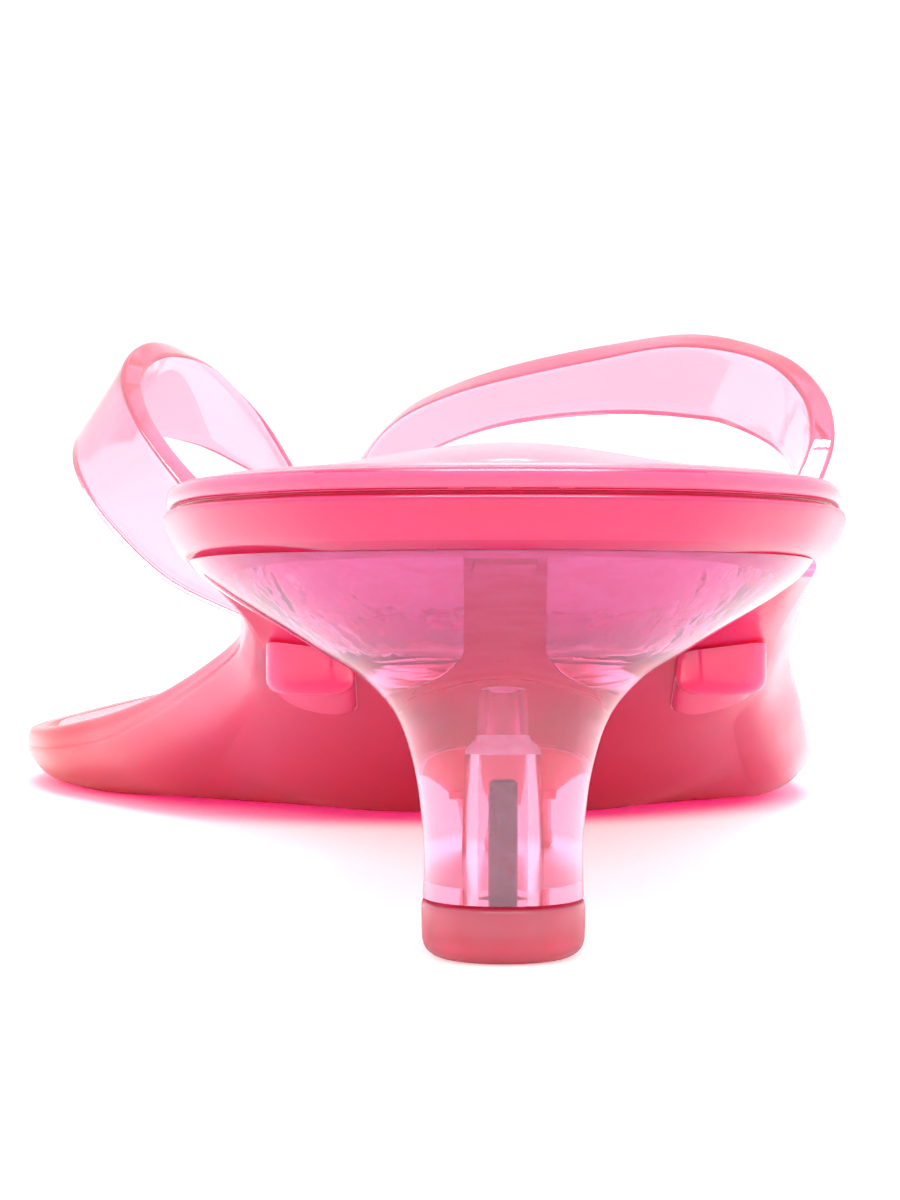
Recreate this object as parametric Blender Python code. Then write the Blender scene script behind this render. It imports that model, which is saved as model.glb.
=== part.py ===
"""Kitten heel flip-flop, right shoe.

A moulded jelly sole with a lipped edge, a cushioned insole, a one-piece thong, a clear cored heel block
on a steel dowel, and a top-lift. Metres, Z up: the toe points along +Y, the little-toe side is +X and the
floor is Z = 0. Tables are in millimetres: "along" runs forward from the heel's back, "across" towards the
little-toe side and "up" from the floor.
"""

import math
from collections import namedtuple

import bmesh
import bpy
import numpy as np

MM = 0.001
SEAT_GAP = 0.3

# The sole from heel to toe: its plan at its widest, the height of the lip, the height of the underside in
# the middle and at its edge, how far the underside is tucked in on each side, how deep the groove is, the
# hollow of the footbed, and the insole's inset and crown.
Station = namedtuple(
    "Station", "along medial lateral rim middle edge medial_tuck lateral_tuck groove hollow inset crown"
)
STATIONS = (
    Station(0.0, 0.0, 0.0, 41.2, 34.6, 34.6, 1.8, 1.8, 1.0, 0.0, 3.2, 1.7),
    Station(3.4, -13.2, 13.2, 41.0, 34.4, 34.4, 1.8, 1.8, 1.0, 0.0, 3.2, 1.9),
    Station(11.0, -20.8, 20.8, 40.5, 33.9, 33.9, 1.8, 1.8, 1.0, 0.0, 3.2, 2.1),
    Station(24.0, -27.0, 27.0, 39.6, 33.0, 33.0, 1.8, 1.8, 1.0, 0.0, 3.2, 2.2),
    Station(43.0, -30.0, 30.0, 37.9, 31.3, 31.3, 1.8, 1.8, 1.0, 0.0, 3.4, 2.0),
    Station(62.0, -28.6, 30.3, 34.7, 28.1, 28.1, 1.8, 1.8, 0.9, 0.3, 4.4, 1.8),
    Station(84.0, -25.8, 29.6, 29.2, 21.4, 22.9, 1.4, 1.8, 0.7, 1.2, 7.6, 1.8),
    Station(98.0, -25.7, 29.4, 24.7, 16.0, 18.4, 1.4, 1.8, 0.5, 1.9, 7.8, 1.8),
    Station(107.0, -26.7, 29.6, 21.6, 12.3, 15.3, 1.8, 2.6, 0.4, 2.2, 7.4, 1.8),
    Station(120.0, -31.2, 31.1, 17.5, 6.6, 11.0, 4.0, 5.6, 0.3, 2.4, 4.8, 1.8),
    Station(135.0, -37.3, 33.1, 13.3, 0.5, 6.0, 6.4, 5.8, 0.2, 2.0, 3.8, 1.6),
    Station(150.0, -44.4, 35.0, 9.9, 0.0, 0.9, 8.6, 5.2, 0.15, 1.0, 3.6, 1.5),
    Station(164.0, -51.2, 36.2, 7.5, 0.0, 0.0, 7.6, 4.8, 0.15, 0.2, 3.6, 1.5),
    Station(180.0, -54.2, 35.0, 6.4, 0.0, 0.0, 4.8, 4.6, 0.15, 0.0, 3.6, 1.5),
    Station(197.0, -52.0, 30.0, 6.2, 0.0, 0.0, 4.4, 4.4, 0.15, 0.0, 3.6, 1.5),
    Station(214.0, -46.2, 21.0, 6.7, 0.5, 0.5, 4.0, 4.0, 0.15, 0.0, 3.6, 1.5),
    Station(229.0, -37.6, 8.6, 7.7, 1.8, 1.8, 3.6, 3.6, 0.15, 0.0, 3.6, 1.3),
    Station(238.5, -28.2, -4.2, 8.7, 3.0, 3.0, 3.2, 3.2, 0.15, 0.0, 3.6, 1.2),
    Station(242.0, -16.8, -16.8, 9.1, 3.5, 3.5, 3.0, 3.0, 0.15, 0.0, 3.6, 1.0),
)
SOLE_SAMPLES = 54
SOLE_COLUMNS = 6
UNDERSIDE_POWER = 4.0

# Section of the sole's edge: lip, groove, bead and tapering wall. Groove is added to the inset by the
# station's share, tuck is a share of the station's tuck and depth a share of the edge's height.
EdgePoint = namedtuple("EdgePoint", "inset groove tuck depth")
TRAY_INSET = 2.8
TRAY_DEPTH = 0.8
SOLE_EDGE = (
    EdgePoint(2.30, 0.00, 0.00, 0.000),
    EdgePoint(1.00, 0.00, 0.00, 0.010),
    EdgePoint(0.45, 0.05, 0.00, 0.045),
    EdgePoint(0.20, 0.10, 0.00, 0.110),
    EdgePoint(0.10, 0.20, 0.00, 0.215),
    EdgePoint(0.10, 0.40, 0.00, 0.275),
    EdgePoint(0.10, 0.95, 0.00, 0.295),
    EdgePoint(0.10, 0.90, 0.00, 0.330),
    EdgePoint(0.05, 0.05, 0.00, 0.355),
    EdgePoint(0.05, 0.00, 0.00, 0.420),
    EdgePoint(0.30, 0.00, 0.10, 0.590),
    EdgePoint(0.55, 0.00, 0.30, 0.770),
    EdgePoint(0.75, 0.00, 0.58, 0.910),
    EdgePoint(0.90, 0.00, 1.00, 1.000),
)

# Section of the insole's edge, as an added inset and a height over its underside.
PadPoint = namedtuple("PadPoint", "inset up")
PAD_EDGE = (
    PadPoint(0.30, 0.0),
    PadPoint(0.00, 0.3),
    PadPoint(0.05, 0.6),
    PadPoint(0.60, 0.9),
)
PAD_FULL_HALF_WIDTH = 20.0

# Each strap from its neck in the sole to the toe post: its rear and front edges.
StrapRow = namedtuple("StrapRow", "rear_across rear_along rear_up front_across front_along front_up")
MEDIAL_STRAP = (
    StrapRow(-21.3, 92.5, 26.3, -21.3, 103.5, 22.3),
    StrapRow(-22.9, 94.2, 30.0, -25.4, 106.4, 23.7),
    StrapRow(-27.2, 98.2, 34.0, -33.4, 109.6, 27.2),
    StrapRow(-31.2, 101.0, 37.5, -39.6, 112.0, 32.9),
    StrapRow(-35.2, 106.0, 42.4, -42.5, 116.0, 37.2),
    StrapRow(-37.2, 112.0, 46.6, -43.0, 121.0, 39.9),
    StrapRow(-36.9, 118.0, 49.2, -41.6, 127.0, 41.6),
    StrapRow(-35.0, 125.0, 50.4, -38.5, 133.0, 41.8),
    StrapRow(-31.9, 135.5, 49.3, -33.2, 142.5, 40.2),
    StrapRow(-28.9, 146.0, 46.2, -28.9, 152.5, 37.6),
    StrapRow(-26.2, 155.0, 42.4, -25.4, 160.5, 35.0),
    StrapRow(-23.4, 164.0, 36.9, -22.0, 168.0, 31.4),
    StrapRow(-20.1, 171.7, 30.4, -18.7, 174.1, 27.7),
)
LATERAL_STRAP = (
    StrapRow(24.4, 92.5, 26.3, 24.4, 103.5, 22.3),
    StrapRow(25.8, 94.0, 30.4, 26.4, 105.4, 26.2),
    StrapRow(28.8, 96.2, 34.4, 29.4, 108.0, 30.2),
    StrapRow(31.0, 98.0, 37.8, 31.2, 110.4, 34.0),
    StrapRow(32.5, 101.5, 41.8, 31.3, 113.4, 37.6),
    StrapRow(31.8, 107.0, 46.0, 29.4, 117.5, 40.3),
    StrapRow(28.2, 114.0, 49.5, 25.8, 122.5, 42.2),
    StrapRow(20.4, 124.0, 51.3, 22.0, 130.5, 43.3),
    StrapRow(11.3, 136.0, 50.0, 13.4, 142.0, 43.8),
    StrapRow(0.7, 148.0, 47.6, 2.8, 152.4, 42.6),
    StrapRow(-5.9, 157.0, 45.3, -4.4, 161.0, 40.2),
    StrapRow(-10.7, 163.2, 42.6, -9.5, 166.8, 37.3),
    StrapRow(-14.4, 168.0, 38.4, -13.2, 171.2, 33.4),
    StrapRow(-17.5, 171.9, 31.2, -18.1, 174.3, 27.2),
)
STRAP_THICKNESS = 2.5
STRAP_EDGE_RADIUS = 0.5
STRAP_SECTIONS = 46
NECK_LENGTH = 11.0
NECK_MIDDLE = 98.0
BLOCK_MIDDLE = 94.5
BLOCK_HALF_WIDTH = 4.3
BLOCK_HALF_LENGTH = 10.0
BLOCK_BOTTOM = 16.7
BLOCK_LEAST_HEIGHT = 1.0
MEDIAL_BLOCK = -18.4
LATERAL_BLOCK = 21.6

# The toe post from its foot in the sole to its crown under the straps.
PostRow = namedtuple("PostRow", "along up radius")
POST_ACROSS = -18.9
POST_ROWS = (
    PostRow(177.6, 2.0, 2.2),
    PostRow(177.6, 2.4, 2.6),
    PostRow(177.6, 9.0, 2.6),
    PostRow(176.4, 16.0, 2.6),
    PostRow(174.6, 24.0, 3.1),
    PostRow(173.6, 28.0, 3.8),
    PostRow(173.0, 30.8, 3.4),
    PostRow(172.7, 32.3, 2.0),
)
POST_SOCKET_FLOOR = 1.7
POST_SIDES = 20

# The heel block by its rise from the top-lift to the sole: half width, back, widest place and breast.
HeelRow = namedtuple("HeelRow", "rise half back widest front")
HEEL_ROWS = (
    HeelRow(0.00, 6.70, 12.0, 20.0, 29.5),
    HeelRow(0.11, 6.60, 12.0, 20.0, 29.4),
    HeelRow(0.29, 7.00, 11.8, 20.4, 30.0),
    HeelRow(0.45, 8.05, 11.2, 21.8, 31.8),
    HeelRow(0.52, 8.90, 10.7, 23.0, 33.2),
    HeelRow(0.59, 10.40, 10.0, 25.0, 35.0),
    HeelRow(0.65, 12.40, 9.1, 27.2, 36.9),
    HeelRow(0.70, 14.80, 8.2, 29.2, 38.8),
    HeelRow(0.76, 17.60, 7.1, 31.6, 41.0),
    HeelRow(0.83, 20.90, 5.8, 34.2, 44.0),
    HeelRow(0.89, 23.60, 4.6, 36.6, 47.0),
    HeelRow(0.96, 26.10, 3.5, 39.2, 50.8),
    HeelRow(1.00, 27.00, 3.0, 40.4, 53.0),
)
HEEL_FOOT = 4.9
HEEL_ACROSS = -0.4
HEEL_RINGS = 22
HEEL_SAMPLES = 16
HEEL_COLUMNS = 8
BACK_POWER = 2.15
FRONT_POWER = 2.8

# The heel's pockets, the web between them and the dowel's bore.
POCKET_WALL = 2.4
POCKET_SIDE_WALL = 3.2
POCKET_FLOOR = 25.2
POCKET_FLOOR_RISE = 0.76
POCKET_OVERSHOOT = 1.2
POCKET_SAMPLES = 18
POCKET_RINGS = 7
WEB_HALF = 3.2
NOTCH_HALF = 2.4
NOTCH_BACK = 7.0
NOTCH_FRONT = 14.0
NOTCH_FLOOR = 33.1
BORE_ALONG = 20.5
BORE_RADIUS = 1.8
BORE_SHOULDER = 18.0
BORE_TIP_RADIUS = 1.3
BORE_TIP_START = 18.9
BORE_TOP = 24.4

# The dowel and the top-lift.
PIN_RADIUS = 1.1
PIN_TOP = 15.2
PIN_CHAMFER = 0.3
PIN_HEAD_RADIUS = 3.3
PIN_HEAD_BOTTOM = 1.8
PIN_HEAD_TOP = 3.2
ROUND_SIDES = 24
LIFT_SPREAD = 0.12
LIFT_HEIGHT = HEEL_FOOT - SEAT_GAP
LiftRow = namedtuple("LiftRow", "up inset")
LIFT_ROWS = (
    LiftRow(0.0, 1.50),
    LiftRow(0.2, 0.85),
    LiftRow(0.6, 0.35),
    LiftRow(1.4, 0.05),
    LiftRow(4.1, 0.0),
    LiftRow(4.45, 0.10),
    LiftRow(LIFT_HEIGHT, 0.35),
)


class Shell:
    """A closed surface put together from rings of points, in millimetres."""

    def __init__(self):
        self.points = []
        self.faces = []

    def ring(self, points):
        start = len(self.points)
        self.points.extend(tuple(point) for point in points)
        return list(range(start, len(self.points)))

    def bridge(self, low, high):
        count = len(low)
        for i in range(count):
            j = (i + 1) % count
            self.faces.append((low[i], low[j], high[j], high[i]))

    def stack(self, rings):
        for low, high in zip(rings[:-1], rings[1:]):
            self.bridge(low, high)

    def cover(self, ring, columns, up):
        """Fills a ring whose two halves mirror each other, with rows of points from side to side."""
        half = len(ring) // 2
        rows = []
        for i in range(1, half):
            left = np.array(self.points[ring[i]])
            right = np.array(self.points[ring[-i]])
            inner = []
            for k in range(1, columns):
                point = left + (right - left) * k / columns
                point[2] = up(point[1], 2.0 * k / columns - 1.0, point[2])
                inner.append(point)
            rows.append([ring[i], *self.ring(inner), ring[-i]])
        for near, far in zip(rows[:-1], rows[1:]):
            for k in range(columns):
                self.faces.append((near[k], near[k + 1], far[k + 1], far[k]))
        for end, row in ((ring[0], rows[0]), (ring[half], rows[-1])):
            for k in range(columns):
                self.faces.append((end, row[k], row[k + 1]))

    def cap(self, ring):
        self.faces.append(tuple(ring))

    def cap_section(self, ring):
        """Closes a strap's section with strips from face to face, since the section may be bent."""
        last = len(ring) - 3
        for i in range(len(ring) // 2 - 3):
            self.faces.append((ring[i], ring[i + 1], ring[last - i - 1], ring[last - i]))
        half = len(ring) // 2
        self.faces.append(tuple(ring[half - 3 : half + 1]))
        self.faces.append((*ring[last:], ring[0]))


def steady_curve(places, values):
    """A smooth curve through the values that never overshoots them."""
    x = np.array(places, float)
    y = np.array(values, float)
    step = np.diff(x)
    slope = np.diff(y) / step
    tangent = np.zeros(len(x))
    for i in range(1, len(x) - 1):
        if slope[i - 1] * slope[i] > 0.0:
            before = 2.0 * step[i] + step[i - 1]
            after = step[i] + 2.0 * step[i - 1]
            tangent[i] = (before + after) / (before / slope[i - 1] + after / slope[i])
    tangent[0] = slope[0]
    tangent[-1] = slope[-1]

    def value(place):
        place = min(max(place, x[0]), x[-1])
        i = min(int(np.searchsorted(x, place, side="right")) - 1, len(step) - 1)
        t = (place - x[i]) / step[i]
        rest = 1.0 - t
        return float(
            y[i] * (1.0 + 2.0 * t) * rest * rest
            + tangent[i] * step[i] * t * rest * rest
            + y[i + 1] * (3.0 - 2.0 * t) * t * t
            - tangent[i + 1] * step[i] * rest * t * t
        )

    return value


def through(rows, before, after, count):
    """Evenly spaced points on a smooth curve through the rows, which may have any number of columns."""
    points = np.array([before, *rows, after], float)
    knots = np.concatenate([[0.0], np.cumsum(np.sqrt(np.linalg.norm(np.diff(points, axis=0), axis=1)))])
    tangents = (points[2:] - points[:-2]) / (knots[2:] - knots[:-2])[:, None]
    points = points[1:-1]
    knots = knots[1:-1]
    dense = []
    for i, span in enumerate(np.diff(knots)):
        for t in np.linspace(0.0, 1.0, 24, endpoint=False):
            rest = 1.0 - t
            dense.append(
                points[i] * (1.0 + 2.0 * t) * rest * rest
                + tangents[i] * span * t * rest * rest
                + points[i + 1] * (3.0 - 2.0 * t) * t * t
                - tangents[i + 1] * span * rest * t * t
            )
    dense.append(points[-1])
    return evenly(np.array(dense), count)


def evenly(points, count):
    """Points at equal steps along a line of points."""
    steps = np.linalg.norm(np.diff(points, axis=0), axis=1)
    lengths = np.concatenate([[0.0], np.cumsum(steps)])
    marks = np.linspace(0.0, lengths[-1], count)
    return np.stack([np.interp(marks, lengths, column) for column in points.T], axis=1)


PLACES = [station.along for station in STATIONS]
RIM = steady_curve(PLACES, [station.rim for station in STATIONS])
MIDDLE = steady_curve(PLACES, [station.middle for station in STATIONS])
EDGE = steady_curve(PLACES, [station.edge for station in STATIONS])
HOLLOW = steady_curve(PLACES, [station.hollow for station in STATIONS])
MEDIAL_TUCK = steady_curve(PLACES, [station.medial_tuck for station in STATIONS])
LATERAL_TUCK = steady_curve(PLACES, [station.lateral_tuck for station in STATIONS])
GROOVE = steady_curve(PLACES, [station.groove for station in STATIONS])
INSET = steady_curve(PLACES, [station.inset for station in STATIONS])
CROWN = steady_curve(PLACES, [station.crown for station in STATIONS])
RISES = [row.rise for row in HEEL_ROWS]
HEEL_HALF = steady_curve(RISES, [row.half for row in HEEL_ROWS])
HEEL_BACK = steady_curve(RISES, [row.back for row in HEEL_ROWS])
HEEL_WIDEST = steady_curve(RISES, [row.widest for row in HEEL_ROWS])
HEEL_FRONT = steady_curve(RISES, [row.front for row in HEEL_ROWS])


def tray(along, share):
    """Height of the footbed, share running from -1 at its medial edge to 1 at its lateral edge."""
    return RIM(along) - TRAY_DEPTH - HOLLOW(along) * (1.0 - share * share)


def underside(along, share):
    """Height of the sole's underside, arched between its edges."""
    return MIDDLE(along) + (EDGE(along) - MIDDLE(along)) * min(abs(share), 1.0) ** UNDERSIDE_POWER


def plan():
    """The sole's outline as (across, along): up the medial side from the heel and down the lateral one."""
    rows = [(station.along, station.medial, station.lateral) for station in STATIONS]
    before = (rows[1][0], rows[1][2], rows[1][1])
    after = (rows[-2][0], rows[-2][2], rows[-2][1])
    sides = through(rows, before, after, SOLE_SAMPLES + 1)
    medial = [(row[1], row[0]) for row in sides]
    lateral = [(row[2], row[0]) for row in sides[-2:0:-1]]
    return np.array(medial + lateral)


PLAN = plan()
PLAN_STEP = np.roll(PLAN, -1, axis=0) - np.roll(PLAN, 1, axis=0)
PLAN_INWARD = np.stack([PLAN_STEP[:, 1], -PLAN_STEP[:, 0]], axis=1)
PLAN_INWARD /= np.linalg.norm(PLAN_INWARD, axis=1)[:, None]


def inset_plan(inset):
    """The outline moved inwards by a distance, or by a distance for each of its points."""
    return PLAN + PLAN_INWARD * np.reshape(inset, (-1, 1))


def edge_plan(point):
    """The outline at one point of the sole's edge section."""
    insets = []
    for k, (x, y) in enumerate(PLAN):
        tuck = MEDIAL_TUCK(y) if k <= SOLE_SAMPLES else LATERAL_TUCK(y)
        insets.append(point.inset + point.groove * GROOVE(y) + point.tuck * tuck)
    return inset_plan(np.array(insets))


def sole_share(across, along):
    """Where a place lies between the edges of the sole's underside, from -1 to 1."""
    edge = edge_plan(SOLE_EDGE[-1])
    medial = edge[: SOLE_SAMPLES + 1]
    lateral = np.vstack([edge[SOLE_SAMPLES:], edge[:1]])[::-1]
    low = np.interp(along, medial[:, 1], medial[:, 0])
    high = np.interp(along, lateral[:, 1], lateral[:, 0])
    return (2.0 * across - low - high) / (high - low)


def make_sole():
    """The sole: footbed tray, edge section and underside."""
    shell = Shell()
    rings = [shell.ring([(x, y, RIM(y) - TRAY_DEPTH) for x, y in inset_plan(TRAY_INSET)])]
    for point in SOLE_EDGE:
        ring = []
        for x, y in edge_plan(point):
            ring.append((x, y, RIM(y) - point.depth * (RIM(y) - EDGE(y))))
        rings.append(shell.ring(ring))
    shell.stack(rings)
    shell.cover(rings[0], SOLE_COLUMNS, lambda along, share, up: tray(along, share))
    shell.cover(rings[-1], SOLE_COLUMNS, lambda along, share, up: underside(along, share))
    return shell


def make_insole():
    """The cushioned pad in the sole's tray, crowned in the middle."""
    shell = Shell()
    insets = np.array([INSET(y) for x, y in PLAN])
    top_plan = inset_plan(insets + PAD_EDGE[-1].inset)
    medial = top_plan[: SOLE_SAMPLES + 1]
    half_widths = np.abs(medial[1:-1, 0] - top_plan[:SOLE_SAMPLES:-1, 0]) / 2.0
    rings = []
    for point in PAD_EDGE:
        ring = []
        for x, y in inset_plan(insets + point.inset):
            ring.append((x, y, tray(y, 1.0) + SEAT_GAP + point.up))
        rings.append(shell.ring(ring))
    shell.stack(rings)

    def bottom(along, share, up):
        return tray(along, share) + SEAT_GAP

    def top(along, share, up):
        half = np.interp(along, medial[1:-1, 1], half_widths)
        fullness = min(half / PAD_FULL_HALF_WIDTH, 1.0)
        crown = CROWN(along) * fullness * (0.5 + 0.5 * math.cos(math.pi * share))
        return tray(along, share) + SEAT_GAP + PAD_EDGE[-1].up + crown

    shell.cover(rings[0], SOLE_COLUMNS, bottom)
    shell.cover(rings[-1], SOLE_COLUMNS, top)
    return shell


def strap_section():
    """Points round a strap's section: a share of its width, its distance in from the edge and its side."""
    third = 1.0 / 3.0
    out = [
        (-1.0, STRAP_EDGE_RADIUS, 1.0),
        (-third, 0.0, 1.0),
        (third, 0.0, 1.0),
        (1.0, STRAP_EDGE_RADIUS, 1.0),
    ]
    back = [(share, distance, -1.0) for share, distance, side in reversed(out)]
    edge = 1.0 - STRAP_EDGE_RADIUS / (STRAP_THICKNESS / 2.0)
    return [*out, (1.0, 0.0, edge), (1.0, 0.0, -edge), *back, (-1.0, 0.0, -edge), (-1.0, 0.0, edge)]


def section_ring(middle, forward, outward, half_width, half_thickness):
    """A strap's section set across one place on its path."""
    ring = []
    for share, distance, side in strap_section():
        reach = share * half_width - math.copysign(distance, share) * (distance > 0.0)
        ring.append(middle + forward * reach + outward * side * half_thickness)
    return ring


def make_strap(rows, block_across):
    """One strap with its neck and the block that holds it under the sole."""
    shell = Shell()
    first = np.array(rows[0])
    rise = np.array([0.0, 0.0, 4.0, 0.0, 0.0, 4.0])
    last = 2.0 * np.array(rows[-1]) - np.array(rows[-2])
    path = through(rows, first - rise, last, STRAP_SECTIONS)
    rear = path[:, :3]
    front = path[:, 3:]
    middle = (rear + front) / 2.0
    tangent = np.gradient(middle, axis=0)
    forward = np.array([0.0, 1.0, 0.0])
    outward = np.array([1.0, 0.0, 0.0])
    neck = np.array([rows[0].rear_across, NECK_MIDDLE, 0.0])
    block = np.array([block_across, BLOCK_MIDDLE, 0.0])

    def against_sole(points):
        return [(x, y, underside(y, sole_share(x, y)) - SEAT_GAP) for x, y, z in points]

    def block_foot(points):
        return [(x, y, min(BLOCK_BOTTOM, z - BLOCK_LEAST_HEIGHT)) for x, y, z in against_sole(points)]

    wide = section_ring(block, forward, outward, BLOCK_HALF_LENGTH, BLOCK_HALF_WIDTH)
    slim = section_ring(neck, forward, outward, NECK_LENGTH / 2.0, STRAP_THICKNESS / 2.0)
    rings = [
        shell.ring(block_foot(wide)),
        shell.ring(against_sole(wide)),
        shell.ring(against_sole(slim)),
    ]
    for i in range(STRAP_SECTIONS):
        width = front[i] - rear[i]
        half = np.linalg.norm(width) / 2.0
        width = width / (2.0 * half)
        face = np.cross(width, tangent[i])
        face = face / np.linalg.norm(face)
        rings.append(shell.ring(section_ring(middle[i], width, face, half, STRAP_THICKNESS / 2.0)))
    shell.stack(rings)
    shell.cap_section(rings[0])
    shell.cap_section(rings[-1])
    return shell


def turned(rows, across, sides):
    """A round solid from rows of (along, up, radius), capped flat at both ends."""
    shell = Shell()
    rings = []
    for along, up, radius in rows:
        ring = []
        for k in range(sides):
            angle = 2.0 * math.pi * k / sides
            ring.append((across + radius * math.cos(angle), along + radius * math.sin(angle), up))
        rings.append(shell.ring(ring))
    shell.stack(rings)
    shell.cap(rings[0])
    shell.cap(rings[-1])
    return shell


def on_dowel_axis(profile):
    """A solid turned about the dowel's axis from a profile of (radius, up)."""
    return turned([(BORE_ALONG, up, radius) for radius, up in profile], HEEL_ACROSS, ROUND_SIDES)


def heel_half_ring(half, back, widest, front, turn):
    """A place on the heel's plan, turn running from -1 at the back to 1 at the breast."""
    angle = turn * math.pi / 2.0
    power = FRONT_POWER if turn > 0.0 else BACK_POWER
    reach = front - widest if turn > 0.0 else widest - back
    across = half * abs(math.cos(angle)) ** (2.0 / power)
    along = widest + math.copysign(abs(math.sin(angle)) ** (2.0 / power), turn) * reach
    return across, along


def heel_plan(rise, spread=0.0):
    """The heel's outline at one rise, spread outwards by a distance."""
    half = HEEL_HALF(rise) + spread
    back = HEEL_BACK(rise) - spread
    widest = HEEL_WIDEST(rise)
    front = HEEL_FRONT(rise) + spread
    side = []
    for k in range(HEEL_SAMPLES + 1):
        across, along = heel_half_ring(half, back, widest, front, 2.0 * k / HEEL_SAMPLES - 1.0)
        side.append((0.0 if k in (0, HEEL_SAMPLES) else across, along))
    medial = [(HEEL_ACROSS - x, y) for x, y in side]
    return medial + [(HEEL_ACROSS + x, y) for x, y in side[-2:0:-1]]


def heel_height(rise, along):
    """Height in the heel, which follows the sole's slope at the top and the floor at the foot."""
    return HEEL_FOOT + rise * (MIDDLE(along) - SEAT_GAP - HEEL_FOOT)


def make_heel():
    """The heel block before it is cored and bored."""
    shell = Shell()
    rings = []
    for k in range(HEEL_RINGS + 1):
        rise = k / HEEL_RINGS
        rings.append(shell.ring([(x, y, heel_height(rise, y)) for x, y in heel_plan(rise)]))
    shell.stack(rings)
    shell.cover(rings[0], HEEL_COLUMNS, lambda along, share, up: HEEL_FOOT)
    shell.cover(rings[-1], HEEL_COLUMNS, lambda along, share, up: heel_height(1.0, along))
    return shell


def make_pocket(side):
    """The space cored out of one side of the heel, open under the sole."""
    shell = Shell()
    rings = []
    for k in range(POCKET_RINGS + 1):
        share = k / POCKET_RINGS
        rise = POCKET_FLOOR_RISE + (1.0 - POCKET_FLOOR_RISE) * share
        corner = 1.0 if k == 0 else 0.0
        half = HEEL_HALF(rise) - POCKET_SIDE_WALL - corner
        back = HEEL_BACK(rise) + POCKET_WALL + corner
        front = HEEL_FRONT(rise) - POCKET_WALL - corner
        widest = HEEL_WIDEST(rise)
        limit = 1.0
        while heel_half_ring(half, back, widest, front, limit)[0] < WEB_HALF:
            limit -= 0.002
        start = -1.0
        while heel_half_ring(half, back, widest, front, start)[0] < WEB_HALF:
            start += 0.002
        ring = []
        for turn in np.linspace(start, limit, POCKET_SAMPLES):
            x, y = heel_half_ring(half, back, widest, front, turn)
            top = MIDDLE(y) + POCKET_OVERSHOOT
            ring.append((HEEL_ACROSS + side * x, y, POCKET_FLOOR + (top - POCKET_FLOOR) * share))
        rings.append(shell.ring(ring))
    shell.stack(rings)
    shell.cap(rings[0])
    shell.cap(rings[-1])
    return shell


def make_lift():
    """The top-lift, rounded at its lower edge."""
    shell = Shell()
    rings = []
    for row in LIFT_ROWS:
        ring = [(x, y, row.up) for x, y in heel_plan(0.0, LIFT_SPREAD - row.inset)]
        rings.append(shell.ring(ring))
    shell.stack(rings)
    shell.cover(rings[0], HEEL_COLUMNS, lambda along, share, up: up)
    shell.cover(rings[-1], HEEL_COLUMNS, lambda along, share, up: up)
    return shell


def make_pin():
    """The dowel, with its flat head in the top-lift."""
    profile = (
        (PIN_HEAD_RADIUS, PIN_HEAD_BOTTOM),
        (PIN_HEAD_RADIUS, PIN_HEAD_TOP),
        (PIN_RADIUS, PIN_HEAD_TOP),
        (PIN_RADIUS, PIN_TOP - PIN_CHAMFER),
        (PIN_RADIUS - PIN_CHAMFER, PIN_TOP),
    )
    return on_dowel_axis(profile)


def bore_space():
    """The heel's blind bore, narrower at its end."""
    profile = (
        (BORE_RADIUS, HEEL_FOOT - 1.0),
        (BORE_RADIUS, BORE_SHOULDER),
        (BORE_TIP_RADIUS, BORE_TIP_START),
        (BORE_TIP_RADIUS, BORE_TOP),
    )
    return on_dowel_axis(profile)


def lift_space():
    """The space in the top-lift for the dowel's head and shank."""
    profile = (
        (PIN_HEAD_RADIUS + SEAT_GAP, PIN_HEAD_BOTTOM - SEAT_GAP),
        (PIN_HEAD_RADIUS + SEAT_GAP, PIN_HEAD_TOP + SEAT_GAP),
        (PIN_RADIUS + SEAT_GAP, PIN_HEAD_TOP + SEAT_GAP),
        (PIN_RADIUS + SEAT_GAP, LIFT_HEIGHT + 1.0),
    )
    return on_dowel_axis(profile)


def box(low, high):
    """A block between two opposite corners."""
    shell = Shell()
    rings = []
    for up in (low[2], high[2]):
        corners = ((low[0], low[1]), (high[0], low[1]), (high[0], high[1]), (low[0], high[1]))
        rings.append(shell.ring([(x, y, up) for x, y in corners]))
    shell.stack(rings)
    shell.cap(rings[0])
    shell.cap(rings[1])
    return shell


def neck_slot(across):
    """The slot in the sole that a strap's neck goes through."""
    half = STRAP_THICKNESS / 2.0 + SEAT_GAP
    reach = NECK_LENGTH / 2.0 + SEAT_GAP
    low = (across - half, NECK_MIDDLE - reach, 0.0)
    high = (across + half, NECK_MIDDLE + reach, RIM(0.0))
    return box(low, high)


def post_hole(low):
    """The hole for the toe post, from a height upwards."""
    foot = POST_ROWS[1]
    radius = foot.radius + SEAT_GAP
    rows = ((foot.along, low, radius), (foot.along, RIM(0.0), radius))
    return turned(rows, POST_ACROSS, ROUND_SIDES)


def material(name, color, roughness, metallic):
    """A plain surface finish."""
    made = bpy.data.materials.new(name)
    made.use_nodes = True
    shader = made.node_tree.nodes["Principled BSDF"]
    shader.inputs["Base Color"].default_value = (*color, 1.0)
    shader.inputs["Roughness"].default_value = roughness
    shader.inputs["Metallic"].default_value = metallic
    made.diffuse_color = (*color, 1.0)
    return made


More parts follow.
